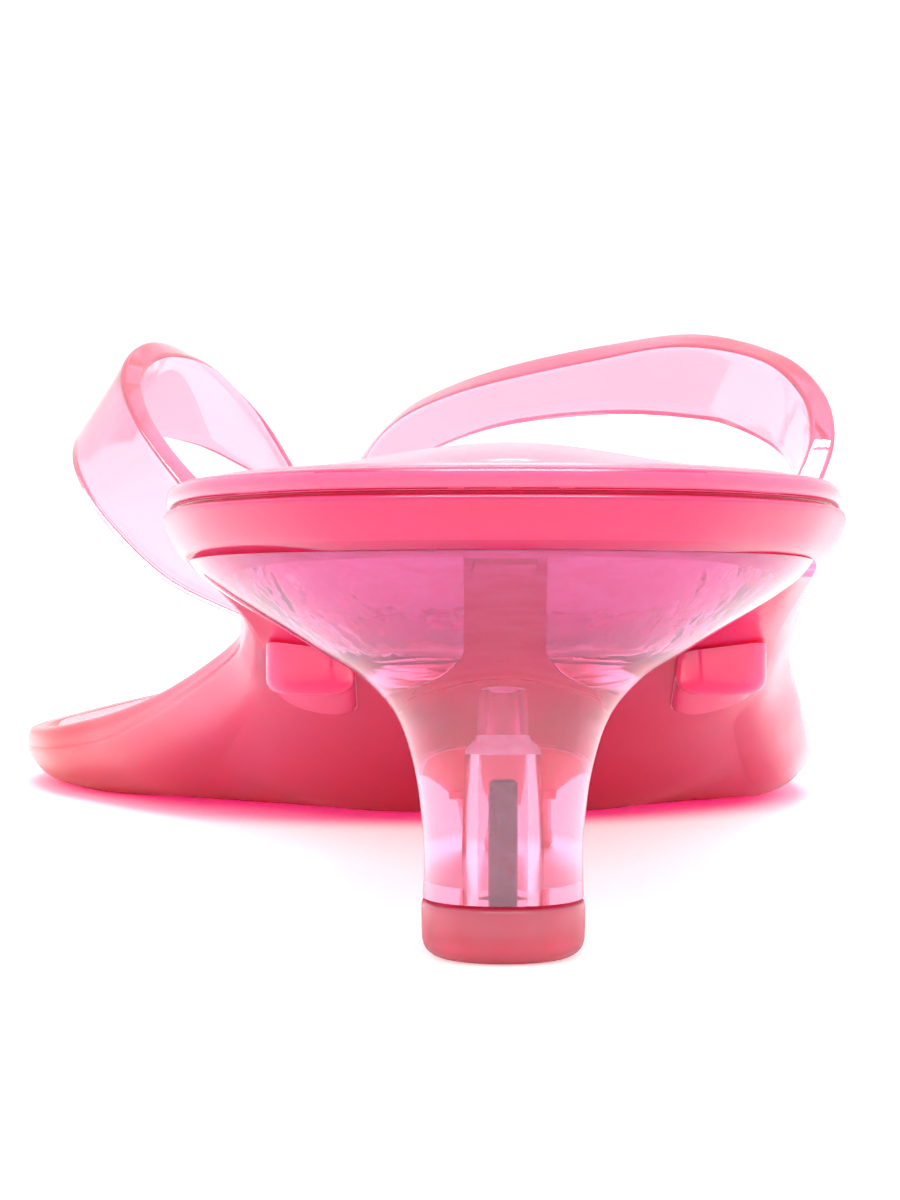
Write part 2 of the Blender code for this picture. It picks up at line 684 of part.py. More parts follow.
def put(shell, name, shift, finish=None):
    """An object made from a shell, moved so that the whole shoe stands over the origin."""
    mesh = bpy.data.meshes.new(name)
    points = (np.array(shell.points) + shift) * MM
    mesh.from_pydata(points.tolist(), [], shell.faces)
    build = bmesh.new()
    build.from_mesh(mesh)
    bmesh.ops.recalc_face_normals(build, faces=build.faces)
    build.to_mesh(mesh)
    build.free()
    mesh.shade_smooth()
    made = bpy.data.objects.new(name, mesh)
    bpy.context.scene.collection.objects.link(made)
    if finish is not None:
        made.data.materials.append(finish)
    return made


def join(target, other, operation):
    """Cuts a helper from a piece, or adds it, and keeps the helper out of sight."""
    step = target.modifiers.new(f"{operation.lower()} {other.name}", "BOOLEAN")
    step.operation = operation
    step.solver = "EXACT"
    step.object = other
    other.hide_render = True
    other.display_type = "WIRE"


def main():
    """Builds every piece, standing on the floor over the origin."""
    for old in list(bpy.data.objects):
        bpy.data.objects.remove(old)

    shells = {
        "sole": make_sole(),
        "insole": make_insole(),
        "upper": make_strap(MEDIAL_STRAP, MEDIAL_BLOCK),
        "lateral strap": make_strap(LATERAL_STRAP, LATERAL_BLOCK),
        "toe post": turned(POST_ROWS, POST_ACROSS, POST_SIDES),
        "heel": make_heel(),
        "heel_pin": make_pin(),
        "top_lift": make_lift(),
    }
    everything = np.vstack([np.array(shell.points) for shell in shells.values()])
    low = everything.min(axis=0)
    high = everything.max(axis=0)
    shift = np.array([-(low[0] + high[0]) / 2.0, -(low[1] + high[1]) / 2.0, -low[2]])

    finishes = {
        "sole": material("translucent_pink_pvc", (0.80, 0.07, 0.19), 0.18, 0.0),
        "insole": material("pale_pink_cushion_pvc", (0.86, 0.34, 0.48), 0.30, 0.0),
        "upper": material("clear_pink_strap_pvc", (0.88, 0.28, 0.46), 0.14, 0.0),
        "heel": material("clear_pink_heel_plastic", (0.86, 0.30, 0.50), 0.08, 0.0),
        "heel_pin": material("dowel_steel", (0.32, 0.31, 0.32), 0.35, 1.0),
        "top_lift": material("coral_lift_plastic", (0.83, 0.13, 0.22), 0.30, 0.0),
    }
    made = {}
    for name, shell in shells.items():
        made[name] = put(shell, name, shift, finishes.get(name))

    join(made["upper"], made["lateral strap"], "UNION")
    join(made["upper"], made["toe post"], "UNION")
    cuts = (
        ("sole", "medial slot", neck_slot(MEDIAL_STRAP[0].rear_across)),
        ("sole", "lateral slot", neck_slot(LATERAL_STRAP[0].rear_across)),
        ("sole", "post socket", post_hole(POST_SOCKET_FLOOR)),
        ("insole", "post hole", post_hole(0.0)),
        ("heel", "medial pocket", make_pocket(-1.0)),
        ("heel", "lateral pocket", make_pocket(1.0)),
        ("heel", "dowel bore", bore_space()),
        (
            "heel",
            "web notch",
            box(
                (HEEL_ACROSS - NOTCH_HALF, NOTCH_BACK, NOTCH_FLOOR),
                (HEEL_ACROSS + NOTCH_HALF, NOTCH_FRONT, RIM(0.0)),
            ),
        ),
        ("top_lift", "dowel space", lift_space()),
    )
    for target, name, shell in cuts:
        join(made[target], put(shell, name, shift), "DIFFERENCE")


main()
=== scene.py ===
"""Kitten heel flip-flop: the finished pieces of a right jelly shoe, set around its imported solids.

Tables are in millimetres: "along" runs forward from the heel's back, "across" towards the little-toe side
and "up" from the floor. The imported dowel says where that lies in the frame.
"""

import math
from collections import namedtuple

import bmesh
import bpy
import numpy as np
from bpy.props import FloatProperty, FloatVectorProperty, IntProperty, PointerProperty
from bpy.types import Operator, Panel, PropertyGroup
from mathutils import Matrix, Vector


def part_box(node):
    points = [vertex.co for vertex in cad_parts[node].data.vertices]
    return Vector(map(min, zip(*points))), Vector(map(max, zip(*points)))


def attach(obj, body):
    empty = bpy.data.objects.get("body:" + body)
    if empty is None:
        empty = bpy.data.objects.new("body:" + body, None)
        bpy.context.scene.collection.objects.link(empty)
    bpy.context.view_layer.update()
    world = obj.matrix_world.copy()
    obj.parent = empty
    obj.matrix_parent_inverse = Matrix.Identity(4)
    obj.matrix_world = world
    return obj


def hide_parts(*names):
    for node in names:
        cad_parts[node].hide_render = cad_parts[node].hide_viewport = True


bl_info = {
    "name": "Kitten heel flip-flop",
    "version": (1, 0, 0),
    "blender": (4, 5, 0),
    "location": "3D View > Sidebar > Flip-flop",
    "description": "Builds a translucent jelly flip-flop with a kitten heel, and its studio",
    "category": "Object",
}

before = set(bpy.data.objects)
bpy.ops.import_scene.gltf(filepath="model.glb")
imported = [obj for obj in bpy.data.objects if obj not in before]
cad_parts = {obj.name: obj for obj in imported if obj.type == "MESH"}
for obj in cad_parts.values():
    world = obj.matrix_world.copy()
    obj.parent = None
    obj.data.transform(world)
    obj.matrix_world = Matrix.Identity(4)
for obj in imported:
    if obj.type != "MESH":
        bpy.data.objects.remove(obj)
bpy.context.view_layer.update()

MM = 0.001
BODY = "root"

# The sole from heel to toe: its plan at its widest, the height of the lip, the height of the underside in
# the middle and at its edge, how far the underside is tucked in on each side, how deep the groove is, the
# hollow of the footbed, and the insole's inset and crown.
Station = namedtuple(
    "Station", "along medial lateral rim middle edge medial_tuck lateral_tuck groove hollow inset crown"
)
STATIONS = (
    Station(0.0, 0.0, 0.0, 41.2, 34.6, 34.6, 1.8, 1.8, 1.0, 0.0, 3.2, 1.7),
    Station(3.4, -13.2, 13.2, 41.0, 34.4, 34.4, 1.8, 1.8, 1.0, 0.0, 3.2, 1.9),
    Station(11.0, -20.8, 20.8, 40.5, 33.9, 33.9, 1.8, 1.8, 1.0, 0.0, 3.2, 2.1),
    Station(24.0, -27.0, 27.0, 39.6, 33.0, 33.0, 1.8, 1.8, 1.0, 0.0, 3.2, 2.2),
    Station(43.0, -30.0, 30.0, 37.9, 31.3, 31.3, 1.8, 1.8, 1.0, 0.0, 3.4, 2.0),
    Station(62.0, -28.6, 30.3, 34.7, 28.1, 28.1, 1.8, 1.8, 0.9, 0.3, 4.4, 1.8),
    Station(84.0, -25.8, 29.6, 29.2, 21.4, 22.9, 1.4, 1.8, 0.7, 1.2, 7.6, 1.8),
    Station(98.0, -25.7, 29.4, 24.7, 16.0, 18.4, 1.4, 1.8, 0.5, 1.9, 7.8, 1.8),
    Station(107.0, -26.7, 29.6, 21.6, 12.3, 15.3, 1.8, 2.6, 0.4, 2.2, 7.4, 1.8),
    Station(120.0, -31.2, 31.1, 17.5, 6.6, 11.0, 4.0, 5.6, 0.2, 2.4, 4.8, 1.8),
    Station(135.0, -37.3, 33.1, 13.3, 0.5, 6.0, 6.4, 5.8, 0.05, 2.0, 3.8, 1.6),
    Station(150.0, -44.4, 35.0, 9.9, 0.0, 0.9, 7.4, 5.2, 0.0, 1.0, 3.6, 1.2),
    Station(164.0, -51.2, 36.2, 7.5, 0.0, 0.0, 5.4, 4.8, 0.0, 0.2, 3.6, 0.9),
    Station(180.0, -54.2, 35.0, 6.4, 0.0, 0.0, 3.2, 4.6, 0.0, 0.0, 3.6, 0.8),
    Station(197.0, -52.0, 30.0, 6.2, 0.0, 0.0, 3.4, 4.4, 0.0, 0.0, 3.6, 0.8),
    Station(214.0, -46.2, 21.0, 6.7, 0.5, 0.5, 3.6, 4.0, 0.0, 0.0, 3.6, 0.8),
    Station(229.0, -37.6, 8.6, 7.7, 1.8, 1.8, 3.6, 3.6, 0.0, 0.0, 3.6, 0.8),
    Station(238.5, -28.2, -4.2, 8.7, 3.0, 3.0, 3.2, 3.2, 0.0, 0.0, 3.6, 1.2),
    Station(242.0, -16.8, -16.8, 9.1, 3.5, 3.5, 3.0, 3.0, 0.0, 0.0, 3.6, 1.0),
)
UNDERSIDE_POWER = 4.0

# Section of the sole's edge: lip, groove, bead and tapering wall. Groove is added to the inset by the
# station's share, tuck is a share of the station's tuck and depth a share of the edge's height.
EdgePoint = namedtuple("EdgePoint", "inset groove tuck depth")
SOLE_EDGE = (
    EdgePoint(2.30, 0.00, 0.00, 0.000),
    EdgePoint(1.00, 0.00, 0.00, 0.010),
    EdgePoint(0.45, 0.05, 0.00, 0.045),
    EdgePoint(0.20, 0.10, 0.00, 0.110),
    EdgePoint(0.10, 0.20, 0.00, 0.215),
    EdgePoint(0.10, 0.40, 0.00, 0.275),
    EdgePoint(0.10, 0.95, 0.00, 0.295),
    EdgePoint(0.10, 0.90, 0.00, 0.330),
    EdgePoint(0.05, 0.05, 0.00, 0.355),
    EdgePoint(0.05, 0.00, 0.00, 0.420),
    EdgePoint(0.30, 0.00, 0.10, 0.590),
    EdgePoint(0.55, 0.00, 0.30, 0.770),
    EdgePoint(0.75, 0.00, 0.58, 0.910),
    EdgePoint(0.90, 0.00, 1.00, 1.000),
)

# Where the sole's finish changes, and where its painted light and shade fall: shares of the edge's height,
# and how far faces turn up or down.
LIP_SHARE = 0.27
# How much paler the lip's sides are painted, as painted light through the thin lip.
LIP_PAINTED_LIGHT = 0.9
LIP_TOP_FACING = 0.6
GROOVE_SHARE = 0.345
FOOT_SHARE = 0.88
# How much painted shade the wall's foot gets, as a share of the groove's.
FOOT_PAINTED_SHADE = 0.5
SEAT_FACING = -0.95
BALL_EDGE = (-30.0, -50.0)

# Section of the insole's edge, as an added inset and a height over its underside.
PadPoint = namedtuple("PadPoint", "inset up")
PAD_EDGE = (
    PadPoint(0.30, 0.0),
    PadPoint(0.08, 0.08),
    PadPoint(0.00, 0.3),
    PadPoint(0.05, 0.6),
    PadPoint(0.25, 0.82),
    PadPoint(0.60, 0.9),
)
PAD_FULL_HALF_WIDTH = 20.0

# Each strap from its neck in the sole to the toe post: its rear and front edges.
StrapRow = namedtuple("StrapRow", "rear_across rear_along rear_up front_across front_along front_up")
MEDIAL_STRAP = (
    StrapRow(-21.3, 92.5, 26.3, -21.3, 103.5, 22.3),
    StrapRow(-22.9, 94.2, 30.0, -25.4, 106.4, 23.7),
    StrapRow(-27.2, 98.2, 34.0, -33.4, 109.6, 27.2),
    StrapRow(-31.2, 101.0, 37.5, -39.6, 112.0, 32.9),
    StrapRow(-35.2, 106.0, 42.4, -42.5, 116.0, 37.2),
    StrapRow(-37.2, 112.0, 46.6, -43.0, 121.0, 39.9),
    StrapRow(-36.9, 118.0, 49.2, -41.6, 127.0, 41.6),
    StrapRow(-35.0, 125.0, 50.4, -38.5, 133.0, 41.8),
    StrapRow(-31.9, 135.5, 49.3, -33.2, 142.5, 40.2),
    StrapRow(-28.9, 146.0, 46.2, -28.9, 152.5, 37.6),
    StrapRow(-26.2, 155.0, 42.4, -25.4, 160.5, 35.0),
    StrapRow(-23.4, 164.0, 36.9, -22.0, 168.0, 31.4),
    StrapRow(-20.1, 171.7, 30.4, -18.7, 174.1, 27.7),
)
LATERAL_STRAP = (
    StrapRow(24.4, 92.5, 26.3, 24.4, 103.5, 22.3),
    StrapRow(25.8, 94.0, 30.4, 26.4, 105.4, 26.2),
    StrapRow(28.8, 96.2, 34.4, 29.4, 108.0, 30.2),
    StrapRow(31.0, 98.0, 37.8, 31.2, 110.4, 34.0),
    StrapRow(32.5, 101.5, 41.8, 31.3, 113.4, 37.6),
    StrapRow(31.8, 107.0, 46.0, 29.4, 117.5, 40.3),
    StrapRow(28.2, 114.0, 49.5, 25.8, 122.5, 42.2),
    StrapRow(20.4, 124.0, 51.3, 22.0, 130.5, 43.3),
    StrapRow(11.3, 136.0, 50.0, 13.4, 142.0, 43.8),
    StrapRow(0.7, 148.0, 47.6, 2.8, 152.4, 42.6),
    StrapRow(-5.9, 157.0, 45.3, -4.4, 161.0, 40.2),
    StrapRow(-10.7, 163.2, 42.6, -9.5, 166.8, 37.3),
    StrapRow(-14.4, 168.0, 38.4, -13.2, 171.2, 33.4),
    StrapRow(-17.5, 171.9, 31.2, -18.1, 174.3, 27.2),
)
NECK_LENGTH = 11.0
NECK_MIDDLE = 98.0
NECK_RISE = 4.0
BLOCK_MIDDLE = 94.5
BLOCK_HALF_WIDTH = 4.3
BLOCK_HALF_LENGTH = 10.0
BLOCK_BOTTOM = 16.7
BLOCK_LEAST_HEIGHT = 1.0
BLOCK_ROUND = 1.6
BLOCK_CORNER = 2.4
BLOCK_MARGIN = 1.0
MEDIAL_BLOCK = -18.4
LATERAL_BLOCK = 21.6

# The toe post from its foot in the sole to its crown under the straps.
TurnRow = namedtuple("TurnRow", "along up radius")
POST_ACROSS = -18.9
POST_ROWS = (
    TurnRow(177.6, 2.0, 2.2),
    TurnRow(177.6, 2.4, 2.6),
    TurnRow(177.6, 9.0, 2.6),
    TurnRow(176.4, 16.0, 2.6),
    TurnRow(174.6, 24.0, 3.1),
    TurnRow(173.6, 28.0, 3.8),
    TurnRow(173.0, 30.8, 3.4),
    TurnRow(172.7, 32.3, 2.0),
)
POST_SOCKET_FLOOR = 1.7

# The heel block by its rise from the top-lift to the sole: half width, back, widest place and breast.
HeelRow = namedtuple("HeelRow", "rise half back widest front")
HEEL_ROWS = (
    HeelRow(0.00, 6.70, 12.0, 20.0, 29.5),
    HeelRow(0.11, 6.60, 12.0, 20.0, 29.4),
    HeelRow(0.29, 7.00, 11.8, 20.4, 30.0),
    HeelRow(0.45, 8.05, 11.2, 21.8, 31.8),
    HeelRow(0.52, 8.90, 10.7, 23.0, 33.2),
    HeelRow(0.59, 10.40, 10.0, 25.0, 35.0),
    HeelRow(0.65, 12.40, 9.1, 27.2, 36.9),
    HeelRow(0.70, 14.80, 8.2, 29.2, 38.8),
    HeelRow(0.76, 17.60, 7.1, 31.6, 41.0),
    HeelRow(0.83, 20.90, 5.8, 34.2, 44.0),
    HeelRow(0.89, 23.60, 4.6, 36.6, 47.0),
    HeelRow(0.96, 26.10, 3.5, 39.2, 50.8),
    HeelRow(1.00, 27.00, 3.0, 40.4, 53.0),
)
HEEL_FOOT = 4.9
HEEL_ACROSS = -0.4
BACK_POWER = 2.15
FRONT_POWER = 2.8
POCKET_FLOOR_RISE = 0.76
POCKET_OVERSHOOT = 1.2
POCKET_ROUND = 1.0
CEMENT_GAP = 0.06
NOTCH_BACK = 7.0
NOTCH_FRONT = 14.0
NOTCH_FLOOR = 33.6
BORE_ALONG = 20.5
BoreRow = namedtuple("BoreRow", "narrowing up")
BORE_ROWS = (
    BoreRow(0.00, 3.9),
    BoreRow(0.00, 17.4),
    BoreRow(0.03, 17.8),
    BoreRow(0.12, 18.2),
    BoreRow(0.30, 18.6),
    BoreRow(0.44, 18.9),
    BoreRow(0.50, 19.3),
    BoreRow(0.50, 24.0),
    BoreRow(0.65, 24.3),
    BoreRow(0.90, 24.4),
)

# Where the heel's finish changes: rises up the heel, heights in its bore where a whitish glint is painted,
# and margins round the faces.
POCKET_LEAST_RISE = 0.7
POCKET_MARGIN = 1.2
FLARE_RISE = (0.5, 0.8)
BREAST_LEAST_RISE = 0.55
CEMENT_REACH = 0.5
CEMENT_FACING = 0.8
GLINT_STEP = (17.5, 19.2)
GLINT_END = (24.05, 24.6)
GLINT_REACH = 1.9

# The dowel and the top-lift.
PIN_TOP = 15.2
PIN_CHAMFER = 0.3
PIN_HEAD_RADIUS = 3.3
PIN_HEAD_BOTTOM = 1.8
PIN_HEAD_TOP = 3.2
LIFT_SPREAD = 0.12
LiftRow = namedtuple("LiftRow", "up inset")
LIFT_ROWS = (
    LiftRow(0.0, 1.50),
    LiftRow(0.06, 1.20),
    LiftRow(0.2, 0.85),
    LiftRow(0.38, 0.58),
    LiftRow(0.6, 0.35),
    LiftRow(0.95, 0.16),
    LiftRow(1.4, 0.05),
    LiftRow(2.4, 0.01),
    LiftRow(4.1, 0.0),
    LiftRow(4.35, 0.05),
    LiftRow(4.5, 0.16),
    LiftRow(4.6, 0.35),
)

# How finely rounded edges and faces are cut, and how far a cut runs past the face that it opens.
EDGE_STEPS = 5
FACE_STEPS = 8
SPAN_STEPS = 24
HEEL_COLUMNS = 24
POCKET_RINGS = 20
TURN_STEP = 0.002
DOWEL_SIDES = 64
HOLE_SIDES = 48
CUT_PAST = 1.0

# How plastics bend light, how detailed their patterns are, how much longer a smear is than a ripple, which
# part of its noise a smear or a cloud spans, and what darkening takes from red, green and blue.
JELLY_IOR = 1.53
PLASTIC_IOR = 1.5
RIPPLE_DETAIL = 3.0
SMEAR_DETAIL = 5.0
CLOUD_DETAIL = 2.0
SMEAR_LENGTH = 2.5
SMEAR_SPAN = (0.3, 0.7)
CLOUD_SPAN = (0.35, 0.65)
DARKENING = (0.1, 1.0, 0.8)

# The softboxes: name, place and turn, size in millimetres, share of the key light's power, and whether it
# only glints.
SOFTBOXES = (
    ("overhead strip", (9.0, -60.0, 600.0), (0.0, 0.0, 0.0), (500.0, 60.0), 1.0, False),
    ("glint box", (40.0, -250.0, 640.0), (12.0, 0.0, 0.0), (480.0, 260.0), 2.4, True),
)
FLOOR_DROP = 0.1
LIGHT_TURNS = 32

# The painted pink glow on the floor, emission that only the lens sees: its middle, its reach and the share
# of it that is its soft edge.
FOREFOOT_MIDDLE = (1.0, 67.0, 0.0)
GLOW_REACH = (60.0, 68.0, 100.0)
GLOW_EDGE = 0.22

# The camera behind the heel, found from the photograph's outlines.
CAMERA_PLACE = (4.16, -491.9, 50.4)
CAMERA_PITCH = 3.06
CAMERA_LENS = 141.7
CAMERA_SENSOR = 36.0
CAMERA_CLIP = (10.0, 100000.0)


def linear(colour):
    """An sRGB hex colour as linear red, green and blue."""
    made = []
    for start in (0, 2, 4):
        share = int(colour[start : start + 2], 16) / 255.0
        made.append(share / 12.92 if share <= 0.04045 else ((share + 0.055) / 1.055) ** 2.4)
    return tuple(made)


def length_setting(name, description, size):
    """A length that a user may change, given in millimetres."""
    return FloatProperty(
        name=name, description=description, default=size * MM, min=0.0, unit="LENGTH", precision=5
    )


def colour_setting(name, description, colour):
    """A colour that a user may change, given as sRGB hex."""
    return FloatVectorProperty(
        name=name, description=description, default=linear(colour), min=0.0, max=1.0, subtype="COLOR"
    )


def share_setting(name, description, share):
    """A share from 0 to 1 that a user may change."""
    return FloatProperty(
        name=name, description=description, default=share, min=0.0, max=1.0, subtype="FACTOR"
    )


class FlipFlopSole(PropertyGroup):
    """Sizes and colours of the sole and its insole."""

    samples: IntProperty(name="Outline points", description="Points up each side", default=170, min=40)
    columns: IntProperty(name="Columns", description="Columns across the footbed", default=26, min=6)
    tray_inset: length_setting("Tray inset", "From the lip's outside to the tray's wall", 2.8)
    tray_depth: length_setting("Tray depth", "From the lip's top to the tray", 0.8)
    seat_gap: length_setting("Seat gap", "Air between touching pieces", 0.3)
    body_colour: colour_setting("Body", "Light that the moulding scatters back", "FA4688")
    depth_colour: colour_setting("Depth", "Light that passes deep into the moulding", "FC95D0")
    # The lip's colour is painted light: the thin clear lip painted paler than the body.
    lip_light_colour: colour_setting("Lip", "Light that the clear lip scatters back", "FF80B0")
    # The groove's colour is painted shade: darker pink in the groove and at the wall's foot.
    groove_shade_colour: colour_setting("Groove", "Light that comes back out of the groove", "B83468")
    tip_colour: colour_setting("Ball", "Light that the thin edge at the ball scatters back", "F23C50")
    seat_colour: colour_setting("Heel seat", "Colour of the ground seat over the heel", "FFB0DE")
    pad_colour: colour_setting("Insole", "Light that the insole scatters back", "FFBED4")
    pad_depth_colour: colour_setting("Insole depth", "Light that passes through the insole", "FF95CB")
    gloss: share_setting("Roughness", "Roughness of the moulded skin", 0.2)


class FlipFlopUpper(PropertyGroup):
    """Sizes and colours of the thong."""

    thickness: length_setting("Thickness", "Thickness of the straps", 2.5)
    edge_radius: length_setting("Edge radius", "Rounding of the straps' edges", 0.45)
    sections: IntProperty(name="Sections", description="Sections along each strap", default=150, min=20)
    post_sides: IntProperty(name="Post sides", description="Points round the toe post", default=48, min=12)
    body_colour: colour_setting("Body", "Light that the strap's skin and haze send back", "FFEAF4")
    depth_colour: colour_setting("Depth", "Light that passes through the strap", "FF95C4")
    block_colour: colour_setting("Blocks", "Light that the blocks scatter back", "FA4C86")
    gloss: share_setting("Roughness", "Roughness of the moulded skin", 0.08)


class FlipFlopHeel(PropertyGroup):
    """Sizes and colours of the heel block, its dowel and its top-lift."""

    samples: IntProperty(name="Outline points", description="Points round each side", default=64, min=16)
    rings: IntProperty(name="Rings", description="Rings up the heel", default=72, min=12)
    pocket_wall: length_setting("Pocket wall", "Wall behind and before the cored pockets", 2.4)
    pocket_side_wall: length_setting("Pocket side wall", "Wall at the pockets' outer sides", 3.2)
    pocket_floor: length_setting("Pocket floor", "Height of the pockets' floor", 25.2)
    web_half: length_setting("Half web", "Half the web between the pockets", 3.2)
    notch_half: length_setting("Half notch", "Half the notch on top of the web", 2.4)
    bore_radius: length_setting("Bore radius", "Radius of the dowel's bore at the heel's foot", 1.8)
    pin_radius: length_setting("Dowel radius", "Radius of the steel dowel", 1.1)
    body_colour: colour_setting("Heel body", "Light that the heel's skin and haze send back", "FFE0EE")
    depth_colour: colour_setting("Heel depth", "Light that passes through the heel", "FE95CC")
    flare_colour: colour_setting("Flare", "Light that the thick flare sends back", "FFA0E0")
    pocket_colour: colour_setting("Pockets", "Tint of the satin pocket walls and breast", "FFE0F2")
    # The colour of the painted whitish glint at the bore's step and end.
    painted_glint_colour: colour_setting("Drilled", "Colour of what the drill left rough", "FFF2FA")
    cement_colour: colour_setting("Cement", "Colour of the cement between heel and sole", "FF98D0")
    lift_colour: colour_setting("Top-lift", "Light that the top-lift scatters back", "FF7A90")
    lift_depth_colour: colour_setting("Top-lift depth", "Light that passes through the top-lift", "FF95B4")
    steel_colour: colour_setting("Steel", "Colour of the dowel", "6E686C")
    gloss: share_setting("Roughness", "Roughness of the polished heel", 0.03)


class FlipFlopStage(PropertyGroup):
    """The studio round the shoe."""

    floor_size: length_setting("Floor", "Side of the floor", 24000.0)
    floor_colour: colour_setting("Floor colour", "Colour of the seamless paper", "FBFBFB")
    glow: FloatProperty(name="Floor glow", description="How much the lens whitens it", default=0.5, min=0.0)
    # The glow colour is painted light: emission on the floor, seen only by the lens, pink under the
    # forefoot.
    glow_colour: colour_setting("Glow colour", "Light that comes through the sole to the floor", "FF3090")
    sky: FloatProperty(name="Surround", description="Light of the white surround", default=1.3, min=0.0)
    key: FloatProperty(name="Key light", description="Power of the softbox", default=3.0, unit="POWER")


class Shell:
    """A closed surface put together from rings of points, in millimetres."""

    def __init__(self):
        self.points = []
        self.faces = []

    def ring(self, points):
        """Adds points and gives their numbers."""
        start = len(self.points)
        self.points.extend(tuple(point) for point in points)
        return list(range(start, len(self.points)))

    def bridge(self, low, high):
        """Joins two rings of as many points by faces."""
        count = len(low)
        for i in range(count):
            j = (i + 1) % count
            self.faces.append((low[i], low[j], high[j], high[i]))

    def stack(self, rings):
        """Joins each ring to the next."""
        for low, high in zip(rings[:-1], rings[1:]):
            self.bridge(low, high)

    def cover(self, ring, columns, up):
        """Fills a ring whose two halves mirror each other, with rows of points from side to side."""
        half = len(ring) // 2
        rows = []
        for i in range(1, half):
            left = np.array(self.points[ring[i]])
            right = np.array(self.points[ring[-i]])
            inner = []
            for k in range(1, columns):
                point = left + (right - left) * k / columns
                point[2] = up(point[1], 2.0 * k / columns - 1.0, point[2])
                inner.append(point)
            rows.append([ring[i], *self.ring(inner), ring[-i]])
        for near, far in zip(rows[:-1], rows[1:]):
            for k in range(columns):
                self.faces.append((near[k], near[k + 1], far[k + 1], far[k]))
        for end, row in ((ring[0], rows[0]), (ring[half], rows[-1])):
            for k in range(columns):
                self.faces.append((end, row[k], row[k + 1]))

    def cap(self, ring):
        """Closes a ring by one face."""
        self.faces.append(tuple(ring))

    def cap_across(self, ring):
        """Closes a ring whose second half runs back beside its first."""
        count = len(ring)
        for i in range(count // 2 - 1):
            self.faces.append((ring[i], ring[i + 1], ring[count - 2 - i], ring[count - 1 - i]))


def steady_curve(places, values):
    """A smooth curve through the values that never overshoots them."""
    x = np.array(places, float)
    y = np.array(values, float)
    step = np.diff(x)
    slope = np.diff(y) / step
    tangent = np.zeros(len(x))
    for i in range(1, len(x) - 1):
        if slope[i - 1] * slope[i] > 0.0:
            before = 2.0 * step[i] + step[i - 1]
            after = step[i] + 2.0 * step[i - 1]
            tangent[i] = (before + after) / (before / slope[i - 1] + after / slope[i])
    tangent[0] = slope[0]
    tangent[-1] = slope[-1]

    def value(place):
        place = min(max(place, x[0]), x[-1])
        i = min(int(np.searchsorted(x, place, side="right")) - 1, len(step) - 1)
        t = (place - x[i]) / step[i]
        rest = 1.0 - t
        return float(
            y[i] * (1.0 + 2.0 * t) * rest * rest
            + tangent[i] * step[i] * t * rest * rest
            + y[i + 1] * (3.0 - 2.0 * t) * t * t
            - tangent[i + 1] * step[i] * rest * t * t
        )

    return value


def through(rows, before, after, count):
    """Evenly spaced points on a smooth curve through the rows, which may have any number of columns."""
    points = np.array([before, *rows, after], float)
    knots = np.concatenate([[0.0], np.cumsum(np.sqrt(np.linalg.norm(np.diff(points, axis=0), axis=1)))])
    tangents = (points[2:] - points[:-2]) / (knots[2:] - knots[:-2])[:, None]
    points = points[1:-1]
    knots = knots[1:-1]
    dense = []
    for i, span in enumerate(np.diff(knots)):
        for t in np.linspace(0.0, 1.0, SPAN_STEPS, endpoint=False):
            rest = 1.0 - t
            dense.append(
                points[i] * (1.0 + 2.0 * t) * rest * rest
                + tangents[i] * span * t * rest * rest
                + points[i + 1] * (3.0 - 2.0 * t) * t * t
                - tangents[i + 1] * span * rest * t * t
            )
    dense.append(points[-1])
    return evenly(np.array(dense), count)


def evenly(points, count):
    """Points at equal steps along a line of points."""
    steps = np.linalg.norm(np.diff(points, axis=0), axis=1)
    lengths = np.concatenate([[0.0], np.cumsum(steps)])
    marks = np.linspace(0.0, lengths[-1], count)
    return np.stack([np.interp(marks, lengths, column) for column in points.T], axis=1)


def eased(rows, rounds):
    """Rows of numbers with their corners cut, the first and last kept."""
    line = np.array(rows, float)
    for _ in range(rounds):
        near = line[:-1] * 0.75 + line[1:] * 0.25
        far = line[:-1] * 0.25 + line[1:] * 0.75
        middle = np.stack([near, far], axis=1).reshape(-1, line.shape[1])
        line = np.vstack([line[:1], middle, line[-1:]])
    return line


def column(rows, name):
    """A smooth curve of one column of a table over its first column."""
    return steady_curve([row[0] for row in rows], [getattr(row, name) for row in rows])


RIM = column(STATIONS, "rim")
MIDDLE = column(STATIONS, "middle")
EDGE = column(STATIONS, "edge")
HOLLOW = column(STATIONS, "hollow")
MEDIAL_TUCK = column(STATIONS, "medial_tuck")
LATERAL_TUCK = column(STATIONS, "lateral_tuck")
GROOVE = column(STATIONS, "groove")
INSET = column(STATIONS, "inset")
CROWN = column(STATIONS, "crown")
HEEL_HALF = column(HEEL_ROWS, "half")
HEEL_BACK = column(HEEL_ROWS, "back")
HEEL_WIDEST = column(HEEL_ROWS, "widest")
HEEL_FRONT = column(HEEL_ROWS, "front")


